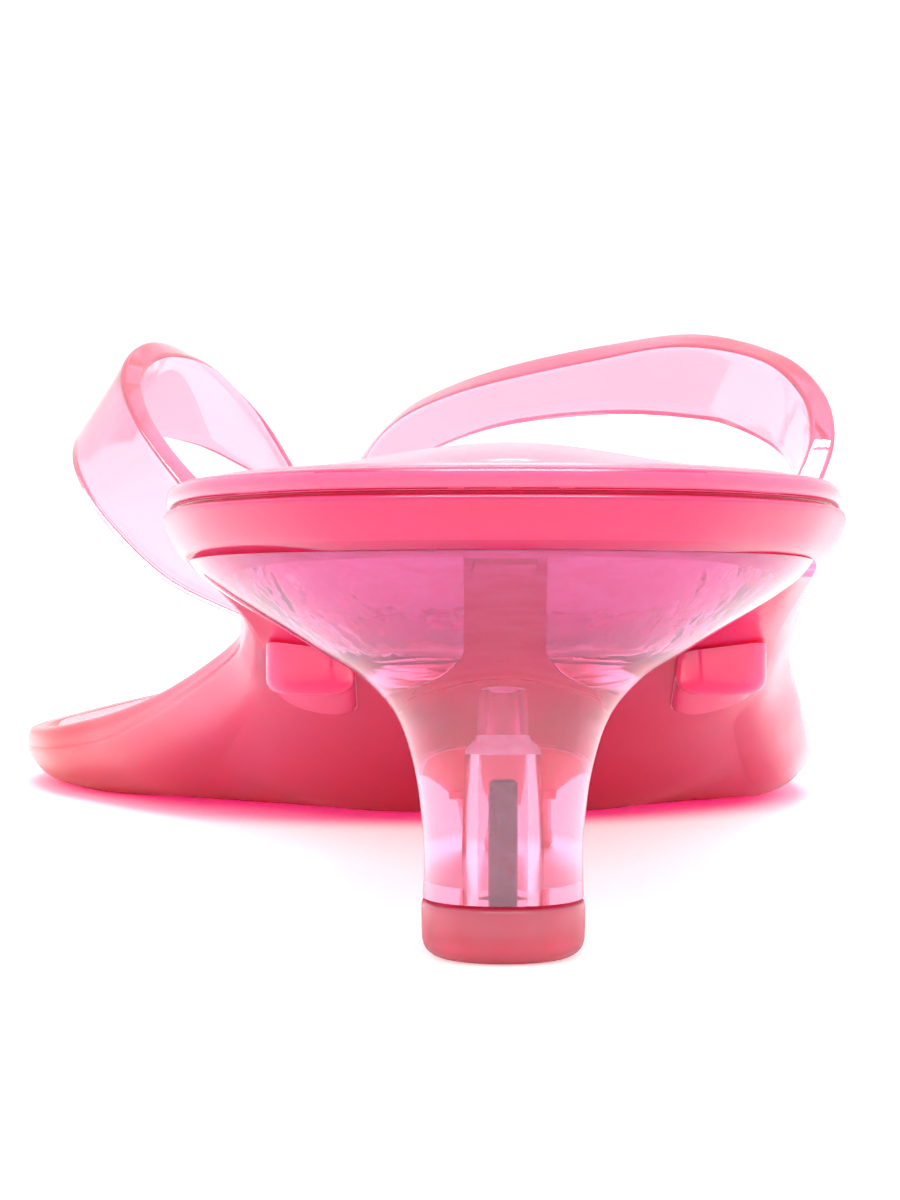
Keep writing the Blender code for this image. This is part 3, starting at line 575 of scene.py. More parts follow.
class SolePlan:
    """The sole's outline as (across, along): up the medial side from the heel and down the lateral one."""

    def __init__(self, samples):
        rows = [(station.along, station.medial, station.lateral) for station in STATIONS]
        before = (rows[1][0], rows[1][2], rows[1][1])
        after = (rows[-2][0], rows[-2][2], rows[-2][1])
        sides = through(rows, before, after, samples + 1)
        medial = [(row[1], row[0]) for row in sides]
        lateral = [(row[2], row[0]) for row in sides[-2:0:-1]]
        self.samples = samples
        self.points = np.array(medial + lateral)
        step = np.roll(self.points, -1, axis=0) - np.roll(self.points, 1, axis=0)
        inward = np.stack([step[:, 1], -step[:, 0]], axis=1)
        self.inward = inward / np.linalg.norm(inward, axis=1)[:, None]

    def inset(self, distance):
        """The outline moved inwards by a distance, or by a distance for each of its points."""
        return self.points + self.inward * np.reshape(distance, (-1, 1))

    def at_edge(self, inset, groove, tuck):
        """The outline at one point of the sole's edge section."""
        insets = []
        for k, (x, y) in enumerate(self.points):
            tucked = MEDIAL_TUCK(y) if k <= self.samples else LATERAL_TUCK(y)
            insets.append(inset + groove * GROOVE(y) + tuck * tucked)
        return self.inset(np.array(insets))

    def share(self, across, along):
        """Where a place lies between the edges of the sole's underside, from -1 to 1."""
        edge = self.at_edge(*SOLE_EDGE[-1][:3])
        medial = edge[: self.samples + 1]
        lateral = np.vstack([edge[self.samples :], edge[:1]])[::-1]
        low = np.interp(along, medial[:, 1], medial[:, 0])
        high = np.interp(along, lateral[:, 1], lateral[:, 0])
        return (2.0 * across - low - high) / (high - low)


def tray(along, share, depth):
    """Height of the footbed, share running from -1 at its medial edge to 1 at its lateral edge."""
    return RIM(along) - depth - HOLLOW(along) * (1.0 - share * share)


def underside(along, share):
    """Height of the sole's underside, arched between its edges."""
    return MIDDLE(along) + (EDGE(along) - MIDDLE(along)) * min(abs(share), 1.0) ** UNDERSIDE_POWER


def turned(rows, across, sides):
    """A round solid from rows of (along, up, radius), capped flat at both ends."""
    shell = Shell()
    rings = []
    for along, up, radius in rows:
        ring = []
        for k in range(sides):
            angle = 2.0 * math.pi * k / sides
            ring.append((across + radius * math.cos(angle), along + radius * math.sin(angle), up))
        rings.append(shell.ring(ring))
    shell.stack(rings)
    shell.cap(rings[0])
    shell.cap(rings[-1])
    return shell


def on_dowel_axis(profile):
    """A solid turned about the dowel's axis from a profile of (radius, up)."""
    return turned([(BORE_ALONG, up, radius) for radius, up in profile], HEEL_ACROSS, DOWEL_SIDES)


def box(low, high):
    """A block between two opposite corners."""
    shell = Shell()
    rings = []
    for up in (low[2], high[2]):
        corners = ((low[0], low[1]), (high[0], low[1]), (high[0], high[1]), (low[0], high[1]))
        rings.append(shell.ring([(x, y, up) for x, y in corners]))
    shell.stack(rings)
    shell.cap(rings[0])
    shell.cap(rings[1])
    return shell


def frame_shift():
    """Where the tables' origin lies in the frame, in millimetres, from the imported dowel."""
    low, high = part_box("heel_pin")
    across = (low.x + high.x) / 2.0 / MM - HEEL_ACROSS
    along = (low.y + high.y) / 2.0 / MM - BORE_ALONG
    return np.array([across, along, 0.0])


def put(shell, name):
    """An object made from a shell, in its place in the frame."""
    mesh = bpy.data.meshes.new(name)
    points = (np.array(shell.points) + frame_shift()) * MM
    mesh.from_pydata(points.tolist(), [], shell.faces)
    build = bmesh.new()
    build.from_mesh(mesh)
    bmesh.ops.recalc_face_normals(build, faces=build.faces)
    build.to_mesh(mesh)
    build.free()
    made = bpy.data.objects.new(name, mesh)
    bpy.context.scene.collection.objects.link(made)
    return made


def combine(piece, others, operation):
    """Cuts helpers from a piece, or adds them to it, and takes the helpers away."""
    for other in others:
        step = piece.modifiers.new(other.name, "BOOLEAN")
        step.operation = operation
        step.solver = "EXACT"
        step.object = other
    graph = bpy.context.evaluated_depsgraph_get()
    mesh = bpy.data.meshes.new_from_object(piece.evaluated_get(graph))
    if not mesh.polygons:
        raise RuntimeError(f"{piece.name} has no faces left")
    piece.modifiers.clear()
    piece.data = mesh
    for other in others:
        bpy.data.objects.remove(other)


def dress(piece, node, finish, sharp=40.0):
    """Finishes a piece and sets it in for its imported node."""
    piece.data.materials.clear()
    piece.data.materials.append(finish)
    piece.data.shade_smooth()
    piece.data.set_sharp_from_angle(angle=math.radians(sharp))
    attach(piece, BODY)
    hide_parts(node)


def tested(piece, chosen):
    """Each face of a piece with a test's answer for its place in the tables and its facing."""
    shift = frame_shift()
    for face in piece.data.polygons:
        yield face, chosen(*(np.array(face.center) / MM - shift), face.normal.z)


def refinish(piece, finish, chosen):
    """Gives another finish to the faces that a test picks."""
    piece.data.materials.append(finish)
    index = len(piece.data.materials) - 1
    for face, picked in tested(piece, chosen):
        if picked:
            face.material_index = index


def mark(piece, name, chosen):
    """Marks each face with a test's answer, for a finish to read."""
    layer = piece.data.attributes.new(name, "FLOAT", "FACE")
    for face, answer in tested(piece, chosen):
        layer.data[face.index].value = float(answer)


def add_node(tree, kind, sockets=None, **settings):
    """Adds a node with its settings; a socket takes a value, or a link where it is given an output."""
    node = tree.nodes.new(kind)
    for name, value in settings.items():
        setattr(node, name, value)
    for name, value in (sockets or {}).items():
        if isinstance(value, bpy.types.NodeSocket):
            tree.links.new(value, node.inputs[name])
        else:
            node.inputs[name].default_value = value
    return node


def per_metre(size):
    """A pattern's scale from the size of its marks in millimetres."""
    return 1.0 / (size * MM)


def moulded(name, sockets, depth=None, density=0.0, skin=None, body=None, marked=()):
    """A moulded plastic: its shader's sockets, what its depth takes from light, and its skin's pattern.

    Skin is (size of its ripples in mm, their height in mm, how far its roughness wanders). Body is
    (colour, second colour, size in mm of the cloudiness between them). Marked has rows of (name of a mark on
    faces, and what they have instead: colour, roughness, size and height of added ripples in mm, if any).
    """
    made = bpy.data.materials.new(name)
    made.use_nodes = True
    tree = made.node_tree
    tree.nodes.clear()
    out = add_node(tree, "ShaderNodeOutputMaterial")
    place = add_node(tree, "ShaderNodeTexCoord").outputs["Object"]
    sockets = dict(sockets)
    if skin:
        size, height, wander = skin
        ripple = add_node(
            tree,
            "ShaderNodeTexNoise",
            {"Vector": place, "Scale": per_metre(size), "Detail": RIPPLE_DETAIL},
        )
        bump = add_node(
            tree,
            "ShaderNodeBump",
            {"Strength": 1.0, "Distance": height * MM, "Height": ripple.outputs["Fac"]},
        )
        sockets["Normal"] = bump.outputs["Normal"]
        smear = add_node(
            tree,
            "ShaderNodeTexNoise",
            {"Vector": place, "Scale": per_metre(size * SMEAR_LENGTH), "Detail": SMEAR_DETAIL},
        )
        rough = sockets["Roughness"]
        spread = add_node(
            tree,
            "ShaderNodeMapRange",
            {
                "Value": smear.outputs["Fac"],
                "From Min": SMEAR_SPAN[0],
                "From Max": SMEAR_SPAN[1],
                "To Min": max(rough - wander, 0.0),
                "To Max": rough + wander,
            },
        )
        sockets["Roughness"] = spread.outputs["Result"]
    if body:
        first, second, size = body
        cloud = add_node(
            tree,
            "ShaderNodeTexNoise",
            {"Vector": place, "Scale": per_metre(size), "Detail": CLOUD_DETAIL},
        )
        ramp = add_node(tree, "ShaderNodeValToRGB", {"Fac": cloud.outputs["Fac"]})
        for stop, share, colour in zip(ramp.color_ramp.elements, CLOUD_SPAN, (first, second)):
            stop.position = share
            stop.color = (*colour, 1.0)
        sockets["Base Color"] = ramp.outputs["Color"]
    for layer, colour, rough, size, height in marked:
        where = add_node(tree, "ShaderNodeAttribute", attribute_name=layer).outputs["Fac"]
        tint = add_node(
            tree,
            "ShaderNodeMixRGB",
            {"Fac": where, "Color1": sockets["Base Color"], "Color2": (*colour, 1.0)},
        )
        sockets["Base Color"] = tint.outputs["Color"]
        dulled = add_node(
            tree,
            "ShaderNodeMapRange",
            {"Value": where, "To Min": sockets["Roughness"], "To Max": rough},
        )
        sockets["Roughness"] = dulled.outputs["Result"]
        if not height:
            continue
        wave = add_node(
            tree,
            "ShaderNodeTexNoise",
            {"Vector": place, "Scale": per_metre(size), "Detail": CLOUD_DETAIL},
        )
        wavy = add_node(
            tree,
            "ShaderNodeBump",
            {
                "Strength": where,
                "Distance": height * MM,
                "Height": wave.outputs["Fac"],
                "Normal": sockets["Normal"],
            },
        )
        sockets["Normal"] = wavy.outputs["Normal"]
    shader = add_node(tree, "ShaderNodeBsdfPrincipled", sockets)
    tree.links.new(shader.outputs["BSDF"], out.inputs["Surface"])
    if depth is not None:
        absorbed = {"Color": (*depth, 1.0), "Density": density}
        volume = add_node(tree, "ShaderNodeVolumeAbsorption", absorbed)
        tree.links.new(volume.outputs["Volume"], out.inputs["Volume"])
    return made


def milky(shares, reach):
    """Sockets of a plastic that scatters light inside it: how far in mm, and each colour's share of that."""
    return {"Subsurface Weight": 1.0, "Subsurface Radius": shares, "Subsurface Scale": reach * MM}


def darker(colour, share):
    """A colour with part of its light taken away, more from green and blue than from red."""
    return tuple(value * (1.0 - weight * share) for value, weight in zip(colour, DARKENING))


def jelly_sole(look):
    """Injection-moulded soft PVC: a soft gloss and a milky pink body, with painted light that makes the
    thinner lip paler and painted shade in the groove and at the wall's foot.
    """
    return moulded(
        "moulded_pink_jelly_pvc",
        {
            "Roughness": look.gloss,
            "IOR": JELLY_IOR,
            "Specular IOR Level": 0.35,
            "Transmission Weight": 0.5,
            **milky((1.0, 0.19, 0.28), 9.0),
        },
        depth=look.depth_colour,
        density=120.0,
        skin=(9.0, 0.02, 0.05),
        body=(tuple(look.body_colour), darker(look.body_colour, 0.12), 26.0),
        marked=[
            # The lip's paler colour is painted light through the thin lip.
            ("lip", look.lip_light_colour, 0.06, 9.0, 0.01),
            # The groove's darker colour is painted shade, also at the wall's foot.
            ("groove", look.groove_shade_colour, look.gloss, 9.0, 0.0),
            ("tip", look.tip_colour, look.gloss, 9.0, 0.0),
        ],
    )


def keyed_seat(look):
    """The sole's heel seat, ground rough for cement: dull and pale pink, with no shine."""
    return moulded(
        "ground_pink_pvc",
        {"Roughness": 0.8, "IOR": JELLY_IOR, "Specular IOR Level": 0.05},
        skin=(1.6, 0.05, 0.1),
        body=(tuple(look.seat_colour), darker(look.seat_colour, 0.35), 4.0),
    )


def cushion_pad(look):
    """Soft PVC pad with a satin skin: pale, since it is thin and whitened.

    Its grain is too fine to draw, so it is drawn coarser, as slow waves.
    """
    return moulded(
        "moulded_pale_cushion_pvc",
        {
            "Roughness": 0.32,
            "IOR": PLASTIC_IOR,
            "Transmission Weight": 0.6,
            **milky((1.0, 0.6, 0.7), 4.0),
        },
        depth=look.pad_depth_colour,
        density=35.0,
        skin=(5.0, 0.01, 0.03),
        body=(tuple(look.pad_colour), darker(look.pad_colour, 0.06), 30.0),
    )


def clear_strap(look):
    """Clear soft PVC: pale on its faces and strong pink along its edges, where light runs inside it."""
    return moulded(
        "moulded_clear_pink_pvc",
        {
            "Base Color": (*look.body_colour, 1.0),
            "Roughness": look.gloss,
            "IOR": JELLY_IOR,
            "Transmission Weight": 0.93,
        },
        depth=look.depth_colour,
        density=180.0,
        skin=(7.0, 0.015, 0.04),
    )


def block_pvc(look):
    """The same soft PVC in the thick blocks: deep pink, since light crosses more of it."""
    return moulded(
        "moulded_deep_pink_pvc",
        {
            "Roughness": look.gloss,
            "IOR": JELLY_IOR,
            **milky((1.0, 0.3, 0.45), 3.0),
        },
        skin=(7.0, 0.015, 0.04),
        body=(tuple(look.block_colour), darker(look.block_colour, 0.2), 9.0),
    )


def clear_heel(look):
    """Polished clear plastic: bends what lies behind it, lilac where thin and pink where deep."""
    return moulded(
        "polished_clear_pink_polycarbonate",
        {
            "Base Color": (*look.body_colour, 1.0),
            "Roughness": look.gloss,
            "IOR": PLASTIC_IOR,
            "Transmission Weight": 0.93,
            **milky((1.0, 0.5, 0.6), 3.0),
        },
        depth=look.depth_colour,
        density=75.0,
        skin=(6.0, 0.008, 0.02),
        marked=[
            ("flare", look.flare_colour, look.gloss, 6.0, 0.0),
            ("breast", look.pocket_colour, 0.25, 6.0, 0.02),
            ("pocket", look.pocket_colour, 0.1, 3.2, 0.25),
        ],
    )


def painted_glint_finish(look):
    """The same plastic, rough and bumpy at the bore's step and end, with a whitish colour that is a painted
    glint.
    """
    return moulded(
        "painted_glint_polycarbonate",
        {"Roughness": 0.15, "IOR": PLASTIC_IOR},
        skin=(0.9, 0.25, 0.1),
        body=(tuple(look.painted_glint_colour), darker(look.painted_glint_colour, 0.3), 1.2),
    )


def cement_film(look):
    """Contact cement spread on the heel's top: dull and pink, and it takes the shine off the plastic."""
    return moulded(
        "brushed_pink_cement",
        {"Roughness": 0.7, "IOR": PLASTIC_IOR, "Specular IOR Level": 0.05},
        skin=(2.0, 0.05, 0.1),
        body=(tuple(look.cement_colour), darker(look.cement_colour, 0.35), 3.0),
    )


def lift_plastic(look):
    """Hard-wearing polyurethane: coral and milky, with a satin skin."""
    return moulded(
        "moulded_coral_polyurethane",
        {
            "Roughness": 0.22,
            "IOR": PLASTIC_IOR,
            "Transmission Weight": 0.5,
            **milky((1.0, 0.2, 0.3), 5.0),
        },
        depth=look.lift_depth_colour,
        density=100.0,
        skin=(4.0, 0.006, 0.06),
        body=(tuple(look.lift_colour), darker(look.lift_colour, 0.12), 5.0),
    )


def dowel_steel(look):
    """Plain drawn steel: dull grey with darker smears."""
    return moulded(
        "drawn_steel",
        {"Roughness": 0.38, "Metallic": 1.0},
        skin=(0.7, 0.05, 0.16),
        body=(tuple(look.steel_colour), darker(look.steel_colour, 0.7), 0.9),
    )


def white_paper(look):
    """White paper: matt and near white, with a painted glow that only the lens sees, pink under the
    forefoot.
    """
    made = bpy.data.materials.new("white_paper")
    made.use_nodes = True
    tree = made.node_tree
    tree.nodes.clear()
    place = add_node(tree, "ShaderNodeTexCoord").outputs["Object"]
    middle = add_node(
        tree,
        "ShaderNodeMapping",
        {
            "Vector": place,
            "Location": [value * MM for value in FOREFOOT_MIDDLE],
            "Scale": [value * MM for value in GLOW_REACH],
        },
        vector_type="TEXTURE",
    )
    inside = add_node(
        tree, "ShaderNodeTexGradient", {"Vector": middle.outputs["Vector"]}, gradient_type="SPHERICAL"
    )
    near = add_node(
        tree,
        "ShaderNodeMapRange",
        {"Value": inside.outputs["Fac"], "From Min": 0.0, "From Max": GLOW_EDGE},
        interpolation_type="SMOOTHSTEP",
    )
    # Painted pink glow under the forefoot, white further out.
    painted_glow_tint = add_node(
        tree,
        "ShaderNodeMixRGB",
        {"Fac": near.outputs["Result"], "Color1": (1.0, 1.0, 1.0, 1.0), "Color2": (*look.glow_colour, 1.0)},
    )
    seen = add_node(tree, "ShaderNodeLightPath").outputs["Is Camera Ray"]
    glow = add_node(tree, "ShaderNodeMapRange", {"Value": seen, "To Min": 0.0, "To Max": look.glow})
    shader = add_node(
        tree,
        "ShaderNodeBsdfPrincipled",
        {
            "Base Color": (*look.floor_colour, 1.0),
            "Roughness": 0.9,
            "Specular IOR Level": 0.2,
            "Emission Color": painted_glow_tint.outputs["Color"],
            "Emission Strength": glow.outputs["Result"],
        },
    )
    out = add_node(tree, "ShaderNodeOutputMaterial")
    tree.links.new(shader.outputs["BSDF"], out.inputs["Surface"])
    return made


def sole_shell(look):
    """The sole: footbed tray, edge section and underside."""
    plan = SolePlan(look.samples)
    depth = look.tray_depth / MM
    shell = Shell()
    rings = [shell.ring([(x, y, RIM(y) - depth) for x, y in plan.inset(look.tray_inset / MM)])]
    for inset, groove, tuck, drop in eased(SOLE_EDGE, 2):
        ring = []
        for x, y in plan.at_edge(inset, groove, tuck):
            ring.append((x, y, RIM(y) - drop * (RIM(y) - EDGE(y))))
        rings.append(shell.ring(ring))
    shell.stack(rings)
    shell.cover(rings[0], look.columns, lambda along, share, up: tray(along, share, depth))
    shell.cover(rings[-1], look.columns, lambda along, share, up: underside(along, share))
    return shell


def insole_shell(look):
    """The cushioned pad in the sole's tray, crowned in the middle."""
    plan = SolePlan(look.samples)
    depth = look.tray_depth / MM
    gap = look.seat_gap / MM
    shell = Shell()
    insets = np.array([INSET(y) for x, y in plan.points])
    top_plan = plan.inset(insets + PAD_EDGE[-1].inset)
    medial = top_plan[: look.samples + 1]
    half_widths = np.abs(medial[1:-1, 0] - top_plan[: look.samples : -1, 0]) / 2.0
    rings = []
    for point in PAD_EDGE:
        ring = []
        for x, y in plan.inset(insets + point.inset):
            ring.append((x, y, tray(y, 1.0, depth) + gap + point.up))
        rings.append(shell.ring(ring))
    shell.stack(rings)

    def bottom(along, share, up):
        return tray(along, share, depth) + gap

    def top(along, share, up):
        half = np.interp(along, medial[1:-1, 1], half_widths)
        fullness = min(half / PAD_FULL_HALF_WIDTH, 1.0)
        crown = CROWN(along) * fullness * (0.5 + 0.5 * math.cos(math.pi * share))
        return tray(along, share, depth) + gap + PAD_EDGE[-1].up + crown

    shell.cover(rings[0], look.columns, bottom)
    shell.cover(rings[-1], look.columns, top)
    return shell


def neck_slot(across, look, upper):
    """The slot in the sole that a strap's neck goes through."""
    gap = look.seat_gap / MM
    half = upper.thickness / MM / 2.0 + gap
    reach = NECK_LENGTH / 2.0 + gap
    low = (across - half, NECK_MIDDLE - reach, 0.0)
    high = (across + half, NECK_MIDDLE + reach, RIM(0.0))
    return box(low, high)


def post_hole(low, look):
    """The hole for the toe post, from a height upwards."""
    foot = POST_ROWS[1]
    radius = foot.radius + look.seat_gap / MM
    return turned(((foot.along, low, radius), (foot.along, RIM(0.0), radius)), POST_ACROSS, HOLE_SIDES)


def strap_section(half_width, half_thickness, radius):
    """Points round a strap's section as (reach, side): along one face, then back along the other."""
    corner = []
    for k in range(EDGE_STEPS + 1):
        angle = math.pi / 2.0 * k / EDGE_STEPS
        reach = radius - half_width - radius * math.cos(angle)
        corner.append((reach, half_thickness - radius + radius * math.sin(angle)))
    flat = np.linspace(radius - half_width, half_width - radius, FACE_STEPS + 1)[1:-1]
    upper = corner + [(reach, half_thickness) for reach in flat]
    upper += [(-reach, side) for reach, side in reversed(corner)]
    return upper + [(reach, -side) for reach, side in reversed(upper)]


def section_ring(middle, forward, outward, half_width, half_thickness, radius):
    """A strap's section set across one place on its path."""
    section = strap_section(half_width, half_thickness, radius)
    return [middle + forward * reach + outward * side for reach, side in section]


def strap_shell(rows, block_across, look, sole):
    """One strap with its neck and the block that holds it under the sole."""
    plan = SolePlan(sole.samples)
    gap = sole.seat_gap / MM
    half_thickness = look.thickness / MM / 2.0
    radius = look.edge_radius / MM
    shell = Shell()
    first = np.array(rows[0])
    rise = np.array([0.0, 0.0, NECK_RISE, 0.0, 0.0, NECK_RISE])
    last = 2.0 * np.array(rows[-1]) - np.array(rows[-2])
    path = through(rows, first - rise, last, look.sections)
    rear = path[:, :3]
    front = path[:, 3:]
    middle = (rear + front) / 2.0
    tangent = np.gradient(middle, axis=0)
    forward = np.array([0.0, 1.0, 0.0])
    outward = np.array([1.0, 0.0, 0.0])
    neck = np.array([rows[0].rear_across, NECK_MIDDLE, 0.0])
    block = np.array([block_across, BLOCK_MIDDLE, 0.0])

    def under_sole(points, drop):
        return [(x, y, underside(y, plan.share(x, y)) - gap - drop) for x, y, z in points]

    def block_ring(inset, lift):
        ring = section_ring(
            block, forward, outward, BLOCK_HALF_LENGTH - inset, BLOCK_HALF_WIDTH - inset, BLOCK_CORNER
        )
        if lift is None:
            return under_sole(ring, inset)
        return [
            (x, y, min(BLOCK_BOTTOM, z - BLOCK_LEAST_HEIGHT) + lift) for x, y, z in under_sole(ring, 0.0)
        ]

    rings = []
    for k in range(EDGE_STEPS + 1):
        angle = math.pi / 2.0 * k / EDGE_STEPS
        inset = BLOCK_ROUND * (1.0 - math.sin(angle))
        rings.append(shell.ring(block_ring(inset, BLOCK_ROUND * (1.0 - math.cos(angle)))))
    rings.append(shell.ring(block_ring(0.0, None)))
    slim = section_ring(neck, forward, outward, NECK_LENGTH / 2.0, half_thickness, radius)
    rings.append(shell.ring(under_sole(slim, 0.0)))
    for i in range(look.sections):
        width = front[i] - rear[i]
        half = np.linalg.norm(width) / 2.0
        width = width / (2.0 * half)
        face = np.cross(width, tangent[i])
        face = face / np.linalg.norm(face)
        rings.append(shell.ring(section_ring(middle[i], width, face, half, half_thickness, radius)))
    shell.stack(rings)
    shell.cap_across(rings[0])
    shell.cap_across(rings[-1])
    return shell


def post_shell(look):
    """The toe post, smoothed along its rows."""
    rows = eased(POST_ROWS, 3)
    return turned(rows, POST_ACROSS, look.post_sides)


def heel_place(half, back, widest, front, turn):
    """A place on the heel's plan, turn running from -1 at the back to 1 at the breast."""
    angle = turn * math.pi / 2.0
    power = FRONT_POWER if turn > 0.0 else BACK_POWER
    reach = front - widest if turn > 0.0 else widest - back
    across = half * abs(math.cos(angle)) ** (2.0 / power)
    along = widest + math.copysign(abs(math.sin(angle)) ** (2.0 / power), turn) * reach
    return across, along


def heel_plan(samples, rise, spread=0.0):
    """The heel's outline at one rise, spread outwards by a distance."""
    half = HEEL_HALF(rise) + spread
    back = HEEL_BACK(rise) - spread
    widest = HEEL_WIDEST(rise)
    front = HEEL_FRONT(rise) + spread
    side = []
    for k in range(samples + 1):
        across, along = heel_place(half, back, widest, front, 2.0 * k / samples - 1.0)
        side.append((0.0 if k in (0, samples) else across, along))
    medial = [(HEEL_ACROSS - x, y) for x, y in side]
    return medial + [(HEEL_ACROSS + x, y) for x, y in side[-2:0:-1]]


def heel_height(rise, along, gap):
    """Height in the heel, which follows the sole's slope at the top and the floor at the foot."""
    return HEEL_FOOT + rise * (MIDDLE(along) - gap - HEEL_FOOT)


def heel_shell(look, gap):
    """The heel block before it is cored and bored."""
    shell = Shell()
    rings = []
    for k in range(look.rings + 1):
        rise = k / look.rings
        ring = [(x, y, heel_height(rise, y, gap)) for x, y in heel_plan(look.samples, rise)]
        rings.append(shell.ring(ring))
    shell.stack(rings)
    shell.cover(rings[0], HEEL_COLUMNS, lambda along, share, up: HEEL_FOOT)
    shell.cover(rings[-1], HEEL_COLUMNS, lambda along, share, up: heel_height(1.0, along, gap))
    return shell


def pocket_shell(look, side):
    """The space cored out of one side of the heel, open under the sole and rounded at its floor."""
    shell = Shell()
    floor = look.pocket_floor / MM
    steps = []
    for k in range(EDGE_STEPS + 1):
        angle = math.pi / 2.0 * k / EDGE_STEPS
        share = POCKET_ROUND * (1.0 - math.cos(angle)) / (MIDDLE(BORE_ALONG) - floor)
        steps.append((share, POCKET_ROUND * (1.0 - math.sin(angle))))
    for share in np.linspace(steps[-1][0], 1.0, POCKET_RINGS)[1:]:
        steps.append((share, 0.0))
    rings = []
    for share, inset in steps:
        rise = POCKET_FLOOR_RISE + (1.0 - POCKET_FLOOR_RISE) * share
        wall = look.pocket_wall / MM + inset
        web = look.web_half / MM + inset
        half = HEEL_HALF(rise) - look.pocket_side_wall / MM - inset
        back = HEEL_BACK(rise) + wall
        front = HEEL_FRONT(rise) - wall
        widest = HEEL_WIDEST(rise)
        start = -1.0
        while heel_place(half, back, widest, front, start)[0] < web:
            start += TURN_STEP
        limit = 1.0
        while heel_place(half, back, widest, front, limit)[0] < web:
            limit -= TURN_STEP
        ring = []
        for turn in np.linspace(start, limit, look.samples):
            x, y = heel_place(half, back, widest, front, turn)
            top = MIDDLE(y) + POCKET_OVERSHOOT
            ring.append((HEEL_ACROSS + side * x, y, floor + (top - floor) * share))
        rings.append(shell.ring(ring))
    shell.stack(rings)
    shell.cap(rings[0])
    shell.cap(rings[-1])
    return shell


def bore_shell(look):
    """The heel's blind bore, narrower at its end."""
    radius = look.bore_radius / MM
    return on_dowel_axis([(radius - row.narrowing, row.up) for row in BORE_ROWS])


def notch_shell(look):
    """The notch on top of the web."""
    half = look.notch_half / MM
    low = (HEEL_ACROSS - half, NOTCH_BACK, NOTCH_FLOOR)
    return box(low, (HEEL_ACROSS + half, NOTCH_FRONT, RIM(0.0)))


def pin_shell(look):
    """The dowel, with its flat head in the top-lift."""
    radius = look.pin_radius / MM
    profile = (
        (PIN_HEAD_RADIUS, PIN_HEAD_BOTTOM),
        (PIN_HEAD_RADIUS, PIN_HEAD_TOP),
        (radius, PIN_HEAD_TOP),
        (radius, PIN_TOP - PIN_CHAMFER),
        (radius - PIN_CHAMFER, PIN_TOP),
    )
    return on_dowel_axis(profile)


def lift_shell(look):
    """The top-lift, rounded at its lower edge."""
    shell = Shell()
    rings = []
    for row in LIFT_ROWS:
        ring = [(x, y, row.up) for x, y in heel_plan(look.samples, 0.0, LIFT_SPREAD - row.inset)]
        rings.append(shell.ring(ring))
    shell.stack(rings)
    shell.cover(rings[0], HEEL_COLUMNS, lambda along, share, up: up)
    shell.cover(rings[-1], HEEL_COLUMNS, lambda along, share, up: up)
    return shell


def lift_space(look, gap):
    """The space in the top-lift for the dowel's head and shank."""
    radius = look.pin_radius / MM + gap
    profile = (
        (PIN_HEAD_RADIUS + gap, PIN_HEAD_BOTTOM - gap),
        (PIN_HEAD_RADIUS + gap, PIN_HEAD_TOP + gap),
        (radius, PIN_HEAD_TOP + gap),
        (radius, LIFT_ROWS[-1].up + CUT_PAST),
    )
    return on_dowel_axis(profile)


def over_heel(across, along, up, facing):
    """Whether a face of the sole lies on the seat over the heel block."""
    return along < HEEL_ROWS[-1].front and facing < SEAT_FACING


def edge_depth(along, up):
    """How far down the sole's edge a height is, from 0 at the lip's top to 1 at the wall's foot."""
    return (RIM(along) - up) / (RIM(along) - EDGE(along))


def painted_lip_light(across, along, up, facing):
    """How far a face of the sole is painted paler, as light through the thin lip: on the lip's sides, where
    the groove under it is deep, with its top faces left darker.
    """
    clear = edge_depth(along, up) < LIP_SHARE and facing < LIP_TOP_FACING
    return LIP_PAINTED_LIGHT * GROOVE(along) * clear


def painted_groove_shade(across, along, up, facing):
    """How far a face of the sole gets painted shade: in the groove, and less so at the wall's foot."""
    depth = edge_depth(along, up)
    if LIP_SHARE < depth < GROOVE_SHARE:
        return GROOVE(along)
    return FOOT_PAINTED_SHADE * GROOVE(along) * (depth > FOOT_SHARE)


def at_the_ball(across, along, up, facing):
    """How far a face of the sole is out at the ball's medial edge, where it is thin and warm."""
    near, far = BALL_EDGE
    return min(max((near - across) / (near - far), 0.0), 1.0)


def on_heel_top(across, along, up, facing):
    """Whether a face of the heel is cemented to the sole."""
    return facing > CEMENT_FACING and up > MIDDLE(along) - CEMENT_REACH


def heel_rise(along, up):
    """How far up the heel a height is, from 0 at its foot to 1 under the sole."""
    return (up - HEEL_FOOT) / (MIDDLE(along) - HEEL_FOOT)


def in_pocket(across, along, up, facing):
    """Whether a face of the heel lies inside it, over the bore: in a pocket or in the notch."""
    rise = heel_rise(along, up)
    half = HEEL_HALF(rise) - POCKET_MARGIN
    widest = HEEL_WIDEST(rise)
    behind = along < widest
    power = BACK_POWER if behind else FRONT_POWER
    reach = widest - HEEL_BACK(rise) if behind else HEEL_FRONT(rise) - widest
    side = (abs(across - HEEL_ACROSS) / half) ** power
    return rise > POCKET_LEAST_RISE and side + (abs(along - widest) / (reach - POCKET_MARGIN)) ** power < 1.0


def on_breast(across, along, up, facing):
    """Whether a face of the heel is on its breast, which keeps the mould's satin."""
    rise = heel_rise(along, up)
    start = (HEEL_WIDEST(rise) + HEEL_FRONT(rise)) / 2.0
    return rise > BREAST_LEAST_RISE and along > start and not in_pocket(across, along, up, facing)


def on_painted_glint(across, along, up, facing):
    """Whether a face of the heel gets the painted glint: the bore's step and end."""
    off_axis = math.hypot(across - HEEL_ACROSS, along - BORE_ALONG)
    step, end = GLINT_STEP, GLINT_END
    return off_axis < GLINT_REACH and (step[0] < up < step[1] or end[0] < up < end[1])


